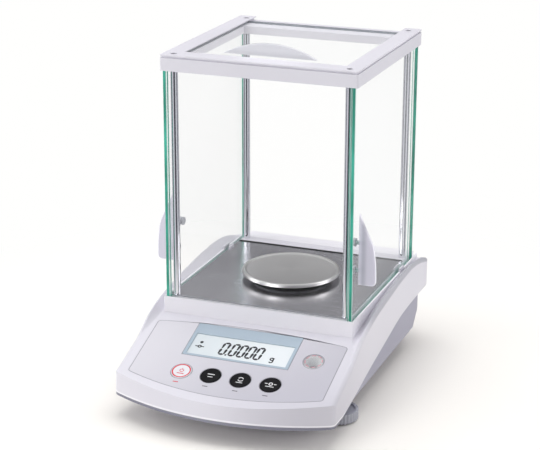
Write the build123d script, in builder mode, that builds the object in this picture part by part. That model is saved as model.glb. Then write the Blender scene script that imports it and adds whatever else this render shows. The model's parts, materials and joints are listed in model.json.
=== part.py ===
"""Analytical balance with a glass draft shield, as an assembly of separate pieces.

Millimetres, +Z up. The origin is on the bench, under the middle of the body.
The keypad faces -Y, and the glass doors slide towards +Y.
"""

import math
import os

from build123d import *

os.makedirs("parts", exist_ok=True)

# ---------------------------------------------------------------- driving sizes
body_width = 201.0
body_depth = 317.0
shield_top = 303.0            # top of the shield's upper frame above the bench
wall = 2.8                    # plastic wall of the two housings
fit_gap = 0.15                # between pieces of one body that drop into each other
run_gap = 0.3                 # between pieces that slide past each other

half_width = body_width / 2
front_y = -body_depth / 2     # foremost point of the bowed front
rear_y = body_depth / 2

# housing
front_bow = 25.5              # how far the front bows out past its corners
front_lean = 0.37             # backward lean of the bowed front, per unit of height
front_corner_r = 7.0
rear_bow = 8.0
rear_corner_r = 18.0
rail_r = 4.0                  # rounding along the two long upper edges
rounding_steps = 6
panel_tilt = 19.2             # keypad slope in degrees
panel_front_z = 31.7          # height of the slope at the foremost point
shelf_z = 75.0                # shelf behind the chamber base
ridge_margin = 2.2            # from the body's side to the top of a rail's inner face
ridge_lift = 0.4              # that face ends this much above the rail, on its rounding
skirt_front_z = 19.0

# lower tray
tray_z = 15.5
tray_inset = 5.2
tray_rear_inset = 10.0
tray_lip = 4.0                # how far the tray's wall reaches up inside the skirt
tray_chamfer = 3.2            # along its two long lower edges

# weighing chamber
chamber_margin = 11.1         # from the body's side to the chamber base's side
chamber_front_y = front_y + 105.6
chamber_rear_y = rear_y - 11.0
chamber_rear_r = 9.0
cap_rear_y = rear_y - 25.7
base_top_z = 83.0
base_apron_z = 64.0           # underside of the base's front apron
base_low_z = 74.0             # underside of the rest of the base
apron_length = 46.0
floor_thickness = 1.2
glass_thickness = 3.2
pane_thickness = 2.6          # front, rear and top panes
groove_depth = 4.0
post_r = 3.25
post_margin = 9.9             # from the chamber's side to a post's centre
post_land = 0.65              # plate left between a post's hole and the plate's edge
door_travel = 135.0
top_travel = 112.0

# upper frame
cap_height = 14.1
rail_width = 15.75
front_rail = 17.9
rear_rail = 31.3
top_pane_thickness = 2.2
top_lip = 0.8                 # plastic above the top pane's edge
slot_reach = 2.0              # how far the top pane reaches into its slots

# pan and its support
pan_back = 4.2                # from the middle of the chamber's floor to the pan's centre
pan_r = 45.0
pan_rim = 6.0                 # width of its raised rim
pan_top_z = 92.4
pan_side = 3.5
spindle_r = 4.0

# keypad
key_r = 9.0
key_pitch = 27.2
key_offset = -1.5             # middle of the row of keys from the middle of the body
key_y = front_y + 37.2
key_travel = 0.6
key_proud = 0.5
film = 0.8                    # printed overlay
vial_r = 6.5
vial_ring_r = 9.0
vial_y = front_y + 71.4
vial_margin = 35.0

# display
bezel_width = 97.5
bezel_height = 42.0
bezel_y = front_y + 77.3
view_width = 91.7
view_height = 26.7
view_drop = 5.4               # the view sits this much below the bezel's middle
display_offset = -1.8

# feet
foot_r = 17.5
foot_y = front_y + 87.0
knob_low_z = 1.7
knob_top_z = 10.2
stud_r = 3.0
stud_gap = 0.05
rear_foot_r = 9.0
rear_foot_margin = 34.0
rear_foot_y = rear_y - 66.0

# ---------------------------------------------------------------- derived places
slope = math.tan(math.radians(panel_tilt))
chamber_x = half_width - chamber_margin
door_in_x = chamber_x - 5.3                    # inner face of a side door
door_out_x = door_in_x + glass_thickness
door_front_y = chamber_front_y + 1.3
door_rear_y = cap_rear_y - 2.8
post_x = chamber_x - post_margin
pane_front_y = chamber_front_y + 1.0           # outer face of the front pane
pane_rear_y = cap_rear_y - 3.2                 # outer face of the rear pane
pane_seat = pane_thickness + fit_gap + 0.3     # from a pane's outer face to the plates
plate_front_y = pane_front_y + pane_seat
deck_rear_y = pane_rear_y - pane_seat
floor_rear_y = cap_rear_y - 21.3               # dark seam behind the polished floor
pan_y = (chamber_front_y + floor_rear_y) / 2 + pan_back
post_gap = post_land + post_r + fit_gap        # from a plate's edge to a post's centre
post_ys = (plate_front_y + post_gap, deck_rear_y - post_gap)
cap_low_z = shield_top - cap_height
cap_inner_z = cap_low_z + 3.6                  # underside of the frame's inner part
floor_top_z = base_top_z + floor_thickness
opening_x = chamber_x - rail_width
opening_front_y = chamber_front_y + front_rail
opening_rear_y = cap_rear_y - rear_rail
top_pane_z = shield_top - top_lip - top_pane_thickness - fit_gap
key_xs = [key_offset + (i - 1.5) * key_pitch for i in range(4)]
foot_x = half_width - foot_r
vial_x = half_width - vial_margin


def slope_z(y):
    """Height of the keypad slope."""
    return panel_front_z + (y - front_y) * slope


panel_y = front_y + 61.0
panel_plane = Plane(
    origin=(0, panel_y, slope_z(panel_y)),
    x_dir=(1, 0, 0),
    z_dir=(0, -math.sin(math.radians(panel_tilt)), math.cos(math.radians(panel_tilt))),
)


def up_slope(y):
    """Distance along the slope from the panel plane's origin."""
    return (y - panel_y) / math.cos(math.radians(panel_tilt))


def save(part, name):
    part.label = name
    export_step(part, f"parts/{name}.step")


# ---------------------------------------------------------------- housing volumes
# lower edge of the skirt: distance from the front, height
skirt_line = [
    (22, skirt_front_z),
    (52, 21.8),
    (79, 26.9),
    (120, 36.0),
    (178, 46.6),
    (208, 51.8),
    (240, 53.8),
]
# upper edge of the rails, which leave the slope at slope_end
slope_end = 66.0
rail_line = [
    (87, 66.0),
    (112, 75.6),
    (146, 82.0),
    (187, 86.6),
    (234, 89.6),
    (262, 88.4),
    (282, 84.2),
    (300, 79.0),
    (317, 75.8),
    (337, 73.8),
]
# foot of the rails' inner faces, beside the chamber base
valley_start = 100.0
valley_line = [
    (112, 68.9),
    (127, 69.8),
    (152, 74.6),
    (181, 78.6),
    (211, 80.9),
    (242, 81.9),
    (275, 80.3),
    (300, 76.8),
    (317, 75.2),
    (337, 73.4),
]


def body_outline(z, gap, rear_inset=0.0, corner_r=rear_corner_r):
    """Plan of the body at height z, inset by gap."""
    x = half_width - gap
    corner_y = front_y + front_bow + gap
    bow_y = front_y + gap + (z - skirt_front_z) * front_lean
    back_y = rear_y - rear_bow - rear_inset - gap
    with BuildSketch(Plane.XY.offset(z)) as outline:
        with BuildLine():
            ThreePointArc((-x, corner_y), (0, bow_y), (x, corner_y))
            Line((x, corner_y), (x, back_y))
            ThreePointArc((x, back_y), (0, back_y + rear_bow), (-x, back_y))
            Line((-x, back_y), (-x, corner_y))
        make_face()
        corners = outline.vertices().sort_by(Axis.Y)
        fillet(corners[:2], max(front_corner_r - gap, 1.0))
        corners = outline.vertices().sort_by(Axis.Y)
        fillet(corners[-2:], corner_r - gap)
    return outline.sketch


def below_skirt(lift):
    """Side view of everything under the skirt's curved edge, moved up by lift."""
    points = [(front_y + d, z + lift) for d, z in skirt_line]
    points.append((rear_y + 20, points[-1][1]))
    front = (front_y - 20, points[0][1])
    with BuildSketch(Plane.YZ) as side:
        with BuildLine():
            Line(front, points[0])
            Spline(*points, tangents=((1, 0), (1, 0)))
            Polyline(points[-1], (rear_y + 20, -5), (front_y - 20, -5), front)
        make_face()
    return side.sketch


def side_view(x, bend, line, lift, level):
    """Side view, at x, of the room between a height of level and an upper edge moved up by lift.

    The edge climbs the slope as far as bend, then follows line.
    """
    start = (front_y - 20, slope_z(front_y - 20) + lift)
    points = [(front_y + bend, slope_z(front_y + bend) + lift)]
    points += [(front_y + d, z + lift) for d, z in line]
    with BuildSketch(Plane.YZ.offset(x)) as side:
        with BuildLine():
            Line(start, points[0])
            Spline(*points, tangents=((1, slope), (1, -0.1)))
            Polyline(points[-1], (points[-1][0], level), (start[0], level), start)
        make_face()
    return side.sketch


def housing_volume(gap, rounding):
    """The top housing's outer form, inset by gap on every outer side, with rounded long edges."""
    x = half_width - gap
    turns = [math.radians(90 * i / rounding_steps) for i in range(rounding_steps + 1)]
    places = [(x - rounding * (1 - math.sin(a)), rounding * (math.cos(a) - 1)) for a in turns]
    if not rounding:
        places = [(x, 0)]
    places = [(-across, lift) for across, lift in reversed(places)] + places
    knee_z = skirt_front_z + 36
    with BuildPart() as bar:
        loft([side_view(across, slope_end, rail_line, lift - gap, 0) for across, lift in places], ruled=True)
    with BuildPart() as plan:
        loft([body_outline(0, gap), body_outline(knee_z, gap)], ruled=True)
        extrude(body_outline(knee_z, gap), amount=60)
    with BuildPart() as volume:
        add(bar.part)
        add(plan.part, mode=Mode.INTERSECT)
    return volume.part


def valley_volume(gap):
    """The room over the rails' inner faces and over the slope in front of the chamber, grown by gap."""
    drop = 1.6 * gap              # a steep face needs more than gap when measured upright
    foot_x = chamber_x + fit_gap
    low = side_view(foot_x, valley_start, valley_line, -drop, shield_top)
    high = side_view(half_width - ridge_margin, slope_end, rail_line, ridge_lift - drop, shield_top)
    with BuildPart() as valley:
        loft([low, high], ruled=True)
        mirror(about=Plane.YZ)
        with BuildSketch(Plane.YZ):
            with BuildLine():
                Polyline(
                    (front_y, slope_z(front_y) - gap),
                    (chamber_front_y, slope_z(chamber_front_y) - gap),
                    (chamber_front_y, shield_top),
                    (front_y, shield_top),
                    close=True,
                )
            make_face()
        extrude(amount=foot_x, both=True)
    return valley.part


def pocket_volume(gap):
    """The room for the chamber base, grown by gap, with the shelf behind it."""
    x = chamber_x + fit_gap + gap
    apron_end = chamber_front_y + apron_length
    back_y = chamber_rear_y + fit_gap + gap
    with BuildPart() as pocket:
        with BuildSketch(Plane.YZ):
            with BuildLine():
                Polyline(
                    (chamber_front_y - fit_gap - gap, base_apron_z - gap),
                    (apron_end + gap, base_apron_z - gap),
                    (apron_end + gap, base_low_z - gap),
                    (back_y, base_low_z - gap),
                    (back_y, shield_top),
                    (chamber_front_y - fit_gap - gap, shield_top),
                    close=True,
                )
            make_face()
        extrude(amount=x, both=True)
        fillet(pocket.edges().filter_by(Axis.Z).group_by(Axis.Y)[-1], chamber_rear_r + gap)
        with BuildSketch(Plane.XY.offset(shelf_z - gap)):
            with Locations((0, (chamber_front_y + apron_length + rear_y) / 2 + 20)):
                Rectangle(2 * (chamber_x + fit_gap), rear_y - chamber_front_y - apron_length + 40)
        extrude(amount=60)
    return pocket.part


housing_outer = housing_volume(0, rail_r)
housing_inner = housing_volume(wall, 0)
pocket = pocket_volume(0)
pocket_lining = pocket_volume(wall)
valley = valley_volume(0)
valley_lining = valley_volume(wall)

# ---------------------------------------------------------------- keypad places
film_ys = {
    "top": front_y + 93.5,
    "top_bow": front_y + 99.3,
    "low": front_y + 28.6,
    "low_bow": front_y + 14.5,
}
film_margin = 11.6            # from the body's side to the film's side
film_drop = film              # the film lies in a recess as deep as it is thick
bezel_low_w = -2.6
key_w = {"top": key_proud, "flange": -3.2, "flange_low": -4.2, "plunger": -5.0}
dome_w = -5.9
mat_w = -6.2
board_w = -7.0
board_thickness = 1.6
standoff_x = bezel_width / 2 + 4.65             # beside the display's frame
standoff_r = 2.6
standoffs = [(sx * standoff_x + display_offset, v) for sx in (-1, 1) for v in (-2.0, 32.0)]
key_spots = [(x, up_slope(key_y)) for x in key_xs]
bezel_spot = (display_offset, up_slope(bezel_y))
view_spot = (display_offset, up_slope(bezel_y) - view_drop)
vial_spot = (vial_x, up_slope(vial_y))


def film_outline(gap, w):
    """Outline of the printed film on the slope, at a height of w above it, inset by gap."""
    x = half_width - film_margin - gap
    top, top_bow = up_slope(film_ys["top"]) - gap, up_slope(film_ys["top_bow"]) - gap
    low, low_bow = up_slope(film_ys["low"]) + gap, up_slope(film_ys["low_bow"]) + gap
    with BuildSketch(panel_plane.offset(w)) as outline:
        with BuildLine():
            ThreePointArc((-x, low), (0, low_bow), (x, low))
            Line((x, low), (x, top))
            ThreePointArc((x, top), (0, top_bow), (-x, top))
            Line((-x, top), (-x, low))
        make_face()
        fillet(outline.vertices(), 3.0)
    return outline.sketch


# ---------------------------------------------------------------- top housing
screw_places = [(sx * (half_width - 14), y) for sx in (-1, 1) for y in (front_y + 46, rear_y - 62)]
screw_places += [(sx * 40, front_y + 24) for sx in (-1, 1)]
boss_r = 4.0
screw_r = 1.5
cavity_low_z = tray_z + wall                   # top of the tray's floor
boss_low_z = cavity_low_z + 1.0
port_x = 56.0
port_low_z = 57.0
port_high_z = 70.6
port_y = rear_y - 10.0                         # outer face of the connector panel
port_frame = 2.2
spindle_hole_r = 28.0

with BuildPart() as housing_cavity:
    add(housing_inner)
    add(pocket_lining, mode=Mode.SUBTRACT)
    add(valley_lining, mode=Mode.SUBTRACT)

with BuildPart() as housing_block:
    add(housing_outer)
    add(pocket, mode=Mode.SUBTRACT)
    add(valley, mode=Mode.SUBTRACT)

with BuildPart() as top_housing:
    add(housing_block.part)
    add(housing_cavity.part, mode=Mode.SUBTRACT)
    # bosses that stand on the tray's pads and take the housing screws
    with BuildSketch(Plane.XY.offset(boss_low_z)):
        with Locations(*screw_places):
            Circle(boss_r)
    extrude(amount=70)
    # tunnel around the connector panel
    with BuildSketch(Plane.XZ.offset(-port_y)):
        with Locations((0, (port_low_z + port_high_z) / 2)):
            Rectangle(2 * (port_x + port_frame), port_high_z - port_low_z + 2 * port_frame)
    extrude(amount=-40)
    # standoffs under the slope for the display board
    with BuildSketch(panel_plane.offset(board_w)):
        with Locations(*standoffs):
            Circle(standoff_r)
    extrude(amount=-board_w - 1.0)
    add(housing_block.part, mode=Mode.INTERSECT)
    with BuildSketch(Plane.XY):
        with Locations(*screw_places):
            Circle(screw_r)
    extrude(amount=boss_low_z + 11, mode=Mode.SUBTRACT)
    with BuildSketch(Plane.XZ.offset(-port_y)):
        with Locations((0, (port_low_z + port_high_z) / 2)):
            Rectangle(2 * port_x, port_high_z - port_low_z)
    extrude(amount=-40, mode=Mode.SUBTRACT)
    # the slope: recess for the film, openings for display, keys and level
    extrude(film_outline(-fit_gap, -film_drop), amount=20, mode=Mode.SUBTRACT)
    with BuildSketch(panel_plane.offset(-6)):
        with Locations(bezel_spot):
            Rectangle(bezel_width + 2 * fit_gap, bezel_height + 2 * fit_gap)
        with Locations(*key_spots):
            Circle(key_r + run_gap)
    extrude(amount=8, mode=Mode.SUBTRACT)
    with BuildSketch(panel_plane.offset(board_w)):
        with Locations(*standoffs):
            Circle(1.0)
    extrude(amount=4.5, mode=Mode.SUBTRACT)
    with BuildSketch(Plane.XY.offset(30)):
        with Locations((vial_x, vial_y)):
            Circle(vial_r + 1.7 + fit_gap)
    extrude(amount=60, mode=Mode.SUBTRACT)
    with BuildSketch(Plane.XY.offset(base_low_z - wall - 1)):
        with Locations((0, pan_y)):
            Circle(spindle_hole_r)
    extrude(amount=8, mode=Mode.SUBTRACT)
    # the skirt's curved lower edge
    extrude(below_skirt(0), amount=half_width + 5, both=True, mode=Mode.SUBTRACT)
save(top_housing.part, "top_housing")

# ---------------------------------------------------------------- base tray
chamfer_start = rear_y - 50.0                  # where the tray's rear underside starts to rise
chamfer_run = 34.0
hook_hole_r = 6.5
foot_boss_r = 8.0
board_post_r = 3.0
peg_r = 2.5                                    # pegs of the rear feet
boss_top_z = 30.0
insert_r = 4.5
insert_low_z = knob_top_z + run_gap + 0.6
cover_pivot = (19.0, pan_y)
cover_pin_r = 2.0
board_y = rear_y - 57.0                        # front edge of the main board
board_z = port_low_z - 0.5
board_posts = [(sx * 50, board_y + 5) for sx in (-1, 1)]
rear_feet_places = [(sx * (half_width - rear_foot_margin), rear_foot_y) for sx in (-1, 1)]
foot_places = [(sx * foot_x, foot_y) for sx in (-1, 1)]
mount_width = 60.0
mount_front_y = pan_y + 8.0
mount_rear_y = chamfer_start - 5.0
mount_length = mount_rear_y - mount_front_y
mount_y = (mount_front_y + mount_rear_y) / 2
mount_thickness = 5.0


def tray_volume(gap):
    """The tray's outer form, inset by gap, open upwards."""
    shift = gap * (math.sqrt(2) - 1)
    with BuildPart() as volume:
        lip_z = skirt_front_z + tray_lip
        extrude(body_outline(lip_z, tray_inset + gap, tray_rear_inset), amount=70, both=True)
        with BuildSketch(Plane.YZ):
            with BuildLine():
                Polyline(
                    (front_y - 5, tray_z + gap),
                    (chamfer_start - shift, tray_z + gap),
                    (chamfer_start + chamfer_run - shift, tray_z + gap + chamfer_run),
                    (rear_y + 5, tray_z + gap + chamfer_run),
                    (rear_y + 5, tray_z + 90),
                    (front_y - 5, tray_z + 90),
                    close=True,
                )
            make_face()
        extrude(amount=half_width, both=True, mode=Mode.INTERSECT)
        x = half_width - tray_inset - gap
        low_x = x - tray_chamfer + shift
        with BuildSketch(Plane.XZ):
            with BuildLine():
                Polyline(
                    (-low_x, tray_z + gap),
                    (low_x, tray_z + gap),
                    (x + 1, tray_z + gap + tray_chamfer - shift + 1),
                    (x + 1, tray_z + 90),
                    (-x - 1, tray_z + 90),
                    (-x - 1, tray_z + gap + tray_chamfer - shift + 1),
                    close=True,
                )
            make_face()
        extrude(amount=body_depth, both=True, mode=Mode.INTERSECT)
    return volume.part


tray_outer = tray_volume(0)
tray_inner = tray_volume(wall)

with BuildPart() as base_tray:
    add(tray_outer)
    add(tray_inner, mode=Mode.SUBTRACT)
    extrude(below_skirt(tray_lip), amount=half_width + 5, both=True, mode=Mode.INTERSECT)
    # notch in the rear wall for the board and its connectors
    with BuildSketch(Plane.XZ.offset(-(chamfer_start + 20))):
        with Locations((0, port_low_z + 20)):
            Rectangle(2 * (port_x + port_frame + 3), 46)
    extrude(amount=-60, mode=Mode.SUBTRACT)
    with BuildSketch(Plane.XY.offset(tray_z)):
        with Locations(*screw_places):
            Circle(boss_r)
    extrude(amount=boss_low_z - tray_z)
    with BuildSketch(Plane.XY.offset(knob_top_z + run_gap)):
        with Locations(*foot_places):
            Circle(foot_boss_r)
    extrude(amount=boss_top_z - knob_top_z - run_gap)
    with BuildSketch(Plane.XY.offset(tray_z)):
        with Locations(*board_posts):
            Circle(board_post_r)
    extrude(amount=board_z - tray_z)
    with BuildSketch(Plane.XY.offset(tray_z - 3.2)):
        with Locations(cover_pivot):
            Circle(cover_pin_r)
    extrude(amount=5)
    with BuildSketch(Plane.XY.offset(tray_z - 4.2)):
        with Locations(cover_pivot):
            Circle(cover_pin_r + 1.2)
    extrude(amount=1.0)
    # holes: screws and their heads, foot inserts, the weigh-below opening, rear foot pegs
    with BuildSketch(Plane.XY.offset(tray_z - 1)):
        with Locations(*screw_places):
            Circle(screw_r + 0.2)
        with Locations((0, pan_y)):
            Circle(hook_hole_r)
        with Locations(*rear_feet_places):
            Circle(peg_r)
    extrude(amount=8, mode=Mode.SUBTRACT)
    with BuildSketch(Plane.XY.offset(tray_z - 1)):
        with Locations(*screw_places):
            Circle(3.2)
    extrude(amount=2.9, mode=Mode.SUBTRACT)
    with BuildSketch(Plane.XY.offset(0)):
        with Locations(*foot_places):
            Circle(insert_r)
    extrude(amount=60, mode=Mode.SUBTRACT)
save(base_tray.part, "base_tray")

with BuildPart() as housing_screws:
    with BuildSketch(Plane.XY.offset(tray_z + 0.2)):
        with Locations(*screw_places):
            Circle(2.9)
    extrude(amount=1.7)
    with BuildSketch(Plane.XY.offset(tray_z + 1.5)):
        with Locations(*screw_places):
            Circle(screw_r)
    extrude(amount=13)
    with BuildSketch(Plane.XY.offset(tray_z + 0.2)):
        with Locations(*screw_places):
            Rectangle(3.2, 0.8)
            Rectangle(0.8, 3.2)
    extrude(amount=1.0, mode=Mode.SUBTRACT)
save(housing_screws.part, "housing_screws")

# ---------------------------------------------------------------- levelling feet
with BuildPart() as foot_inserts:
    with BuildSketch(Plane.XY.offset(insert_low_z)):
        with Locations(*foot_places):
            Circle(insert_r)
            Circle(stud_r + stud_gap, mode=Mode.SUBTRACT)
    extrude(amount=boss_top_z - insert_low_z)
save(foot_inserts.part, "foot_inserts")

rib_count = 32
pad_r = 14.0
pad_peg_r = 2.0
for side, place in zip(("left", "right"), foot_places):
    with BuildPart() as knob:
        with BuildSketch(Plane.XY.offset(knob_low_z)):
            with Locations(place):
                Circle(foot_r)
                with PolarLocations(foot_r + 0.35, rib_count):
                    Circle(1.15, mode=Mode.SUBTRACT)
        extrude(amount=knob_top_z - knob_low_z)
        with BuildSketch(Plane.XY.offset(knob_top_z - 1.2)):
            with Locations(place):
                Circle(foot_r - 3.0)
                Circle(6.5, mode=Mode.SUBTRACT)
        extrude(amount=2, mode=Mode.SUBTRACT)
        with BuildSketch(Plane.XY.offset(knob_top_z)):
            with Locations(place):
                Circle(stud_r)
        extrude(amount=boss_top_z - knob_top_z + 2)
        with BuildSketch(Plane.XY.offset(knob_low_z)):
            with Locations(place):
                Circle(pad_peg_r + stud_gap)
        extrude(amount=5.5, mode=Mode.SUBTRACT)
    save(knob.part, f"{side}_foot_knob")
    with BuildPart() as pad:
        with BuildSketch(Plane.XY):
            with Locations(place):
                Circle(pad_r)
        extrude(amount=knob_low_z - run_gap)
        with BuildSketch(Plane.XY):
            with Locations(place):
                Circle(pad_peg_r)
        extrude(amount=knob_low_z + 4.8)
    save(pad.part, f"{side}_foot_pad")

with BuildPart() as rear_feet:
    with BuildSketch(Plane.XY):
        with Locations(*rear_feet_places):
            Circle(rear_foot_r)
    extrude(amount=tray_z)
    fillet(rear_feet.edges().filter_by(GeomType.CIRCLE).group_by(Axis.Z)[0], 1.0)
    with BuildSketch(Plane.XY.offset(tray_z)):
        with Locations(*rear_feet_places):
            Circle(peg_r)
    extrude(amount=wall + 1)
save(rear_feet.part, "rear_feet")

# ---------------------------------------------------------------- weigh-below opening
cover_length = 32.0
cover_width = 17.0
cover_z = tray_z - 2.6
with BuildPart() as hook_cover:
    with BuildSketch(Plane.XY.offset(cover_z)):
        with Locations((cover_pivot[0] - (cover_length - cover_width) / 2, pan_y)):
            SlotOverall(cover_length, cover_width)
        with Locations(cover_pivot):
            Circle(cover_pin_r + 0.08, mode=Mode.SUBTRACT)
    extrude(amount=tray_z - run_gap - cover_z)
save(hook_cover.part, "hook_cover")

# ---------------------------------------------------------------- load cell
cell_width = 26.0
cell_height = 22.0
cell_low_z = cavity_low_z + 12.0
cell_front_y = pan_y - 15.0
cell_rear_y = chamfer_start - 6.0
cell_length = cell_rear_y - cell_front_y
cell_top_z = cell_low_z + cell_height
mount_bolt_y = mount_length / 2 - 7.0
mount_places = [(sx * 22, mount_y + sy * mount_bolt_y) for sx in (-1, 1) for sy in (-1, 1)]

with BuildPart() as cell_mount:
    with BuildSketch(Plane.XY.offset(cavity_low_z)):
        with Locations((0, mount_y)):
            RectangleRounded(mount_width, mount_length, 6)
    extrude(amount=mount_thickness)
    with BuildSketch(Plane.XY.offset(cavity_low_z + mount_thickness)):
        with Locations((0, cell_rear_y - 16)):
            Rectangle(cell_width + 8, 34)
    extrude(amount=cell_low_z - cavity_low_z - mount_thickness)
    with BuildSketch(Plane.XY.offset(cavity_low_z)):
        with Locations(*mount_places):
            Circle(2.0)
    extrude(amount=mount_thickness, mode=Mode.SUBTRACT)
save(cell_mount.part, "cell_mount")

with BuildPart() as load_cell:
    with BuildSketch(Plane.XY.offset(cell_low_z)):
        with Locations((0, cell_front_y + cell_length / 2)):
            Rectangle(cell_width, cell_length)
    extrude(amount=cell_height)
    fillet(load_cell.edges().filter_by(Axis.Z), 2.0)
    # the thinned parallel beam
    with BuildSketch(Plane.YZ):
        with Locations((cell_front_y + cell_length / 2, cell_low_z + cell_height / 2)):
            with Locations((-12, 0), (12, 0)):
                Circle(8.0)
            Rectangle(24, 7)
    extrude(amount=cell_width, both=True, mode=Mode.SUBTRACT)
save(load_cell.part, "load_cell")

with BuildPart() as cell_screws:
    with BuildSketch(Plane.XY.offset(cavity_low_z)):
        with Locations(*mount_places):
            Circle(1.9)
    extrude(amount=mount_thickness)
    with BuildSketch(Plane.XY.offset(cavity_low_z + mount_thickness)):
        with Locations(*mount_places):
            Circle(3.6)
    extrude(amount=3.0)
    with BuildSketch(Plane.XY.offset(cavity_low_z + mount_thickness + 1.2)):
        with Locations(*mount_places):
            RegularPolygon(1.7, 6)
    extrude(amount=2.0, mode=Mode.SUBTRACT)
save(cell_screws.part, "cell_screws")

with BuildPart() as below_hook:
    with BuildSketch(Plane.XY.offset(cell_low_z - 2.0)):
        with Locations((0, pan_y)):
            Circle(5.0)
    extrude(amount=2.0)
    with BuildSketch(Plane.XY.offset(tray_z + 2.6)):
        with Locations((0, pan_y)):
            Circle(4.2)
    extrude(amount=cell_low_z - 2.0 - tray_z - 2.6)
    with BuildSketch(Plane.XZ.offset(-pan_y)):
        with Locations((0, tray_z + 6.6)):
            Circle(2.3)
    extrude(amount=6, both=True, mode=Mode.SUBTRACT)
save(below_hook.part, "below_hook")

# ---------------------------------------------------------------- spindle, support and pan
spindle_top_z = pan_top_z - 6.4
support_r = pan_r - 9.0
support_low_z = floor_top_z + 2.2
support_thickness = 2.0
support_hub_r = 7.0
hub_low_z = base_low_z + 3.0
pan_skin = 0.8
pan_disc_r = pan_r - pan_rim
pan_disc_z = pan_top_z - 1.2                    # upper face of the flat middle

with BuildPart() as pan_spindle:
    with BuildSketch(Plane.XY.offset(cell_top_z)):
        with Locations((0, pan_y)):
            Circle(11.0)
    extrude(amount=4)
    with BuildSketch(Plane.XY.offset(cell_top_z + 4)):
        with Locations((0, pan_y)):
            Circle(7.0)
    extrude(amount=hub_low_z - 6 - cell_top_z)
    with BuildSketch(Plane.XY.offset(cell_top_z + 4)):
        with Locations((0, pan_y)):
            Circle(spindle_r)
    extrude(amount=spindle_top_z - cell_top_z - 4)
    chamfer(pan_spindle.edges().filter_by(GeomType.CIRCLE).sort_by(Axis.Z)[-1], 0.8)
save(pan_spindle.part, "pan_spindle")

with BuildPart() as pan_support:
    with BuildSketch(Plane.XY.offset(support_low_z)):
        with Locations((0, pan_y)):
            Circle(support_r)
            with PolarLocations(23, 3):
                Circle(7.5, mode=Mode.SUBTRACT)
    extrude(amount=support_thickness)
    with BuildSketch(Plane.XY.offset(hub_low_z)):
        with Locations((0, pan_y)):
            Circle(support_hub_r)
    extrude(amount=support_low_z - hub_low_z)
    with BuildSketch(Plane.XY.offset(hub_low_z)):
        with Locations((0, pan_y)):
            Circle(spindle_r + stud_gap)
    extrude(amount=spindle_top_z - hub_low_z, mode=Mode.SUBTRACT)
save(pan_support.part, "pan_support")

with BuildPart() as support_pads:
    with BuildSketch(Plane.XY.offset(support_low_z + support_thickness)):
        with Locations((0, pan_y)):
            with PolarLocations(support_r - 5.0, 3, start_angle=60):
                Circle(3.2)
    extrude(amount=pan_disc_z - pan_skin - support_low_z - support_thickness)
save(support_pads.part, "support_pads")

with BuildPart() as weighing_pan:
    with BuildSketch(Plane.XZ.offset(-pan_y)):
        with BuildLine():
            Polyline((0, pan_disc_z - pan_skin), (0, pan_disc_z), (pan_disc_r, pan_disc_z))
            Spline(
                (pan_disc_r, pan_disc_z),
                (pan_disc_r + 2.6, pan_top_z),
                (pan_r - 0.7, pan_top_z - 0.5),
                (pan_r, pan_top_z - 1.6),
                tangents=((1, 0), (0, -1)),
            )
            Polyline(
                (pan_r, pan_top_z - 1.6),
                (pan_r, pan_top_z - pan_side),
                (pan_r - pan_skin, pan_top_z - pan_side),
                (pan_r - pan_skin, pan_disc_z - pan_skin),
                (0, pan_disc_z - pan_skin),
            )
        make_face()
    revolve(axis=Axis((0, pan_y, 0), (0, 0, 1)))
save(weighing_pan.part, "weighing_pan")

# ---------------------------------------------------------------- chamber base and floor
groove_floor_z = base_top_z - groove_depth
side_groove_x = (door_in_x - run_gap, door_out_x + run_gap)
pane_x = door_in_x - 0.8
guide_y = floor_rear_y - 20.5
guide_length = 12.0
well_margin = 11.5
well_rear_y = floor_rear_y - 8.0
post_low_z = base_low_z + 2.5
post_places = [(sx * post_x, y) for y in post_ys for sx in (-1, 1)]


def pane_groove(z, height):
    """Grooves for the front and rear panes, between the side grooves."""
    with BuildPart() as grooves:
        with BuildSketch(Plane.XY.offset(z)):
            with Locations((0, pane_front_y + pane_thickness / 2), (0, pane_rear_y - pane_thickness / 2)):
                Rectangle(2 * side_groove_x[0], pane_thickness + 2 * fit_gap)
        extrude(amount=height)
    return grooves.part


def door_groove(z, height):
    """Grooves for the two side doors, open towards the rear."""
    width = side_groove_x[1] - side_groove_x[0]
    start_y = door_front_y - run_gap
    with BuildPart() as grooves:
        with BuildSketch(Plane.XY.offset(z)):
            middle = (side_groove_x[0] + side_groove_x[1]) / 2
            with Locations((-middle, (start_y + rear_y) / 2), (middle, (start_y + rear_y) / 2)):
                Rectangle(width, rear_y - start_y)
        extrude(amount=height)
    return grooves.part


def guide_block(gap):
    """Room of the two door guides, grown by gap."""
    low_x = side_groove_x[0] - 1.3 - gap
    high_x = chamber_x
    with BuildPart() as block:
        with BuildSketch(Plane.XY.offset(groove_floor_z - 2.5)):
            with Locations(*[(sx * (low_x + high_x) / 2, guide_y) for sx in (-1, 1)]):
                Rectangle(high_x - low_x, guide_length + 2 * gap)
        extrude(amount=groove_depth + 2.5 + 3.0)
    return block.part


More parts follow.
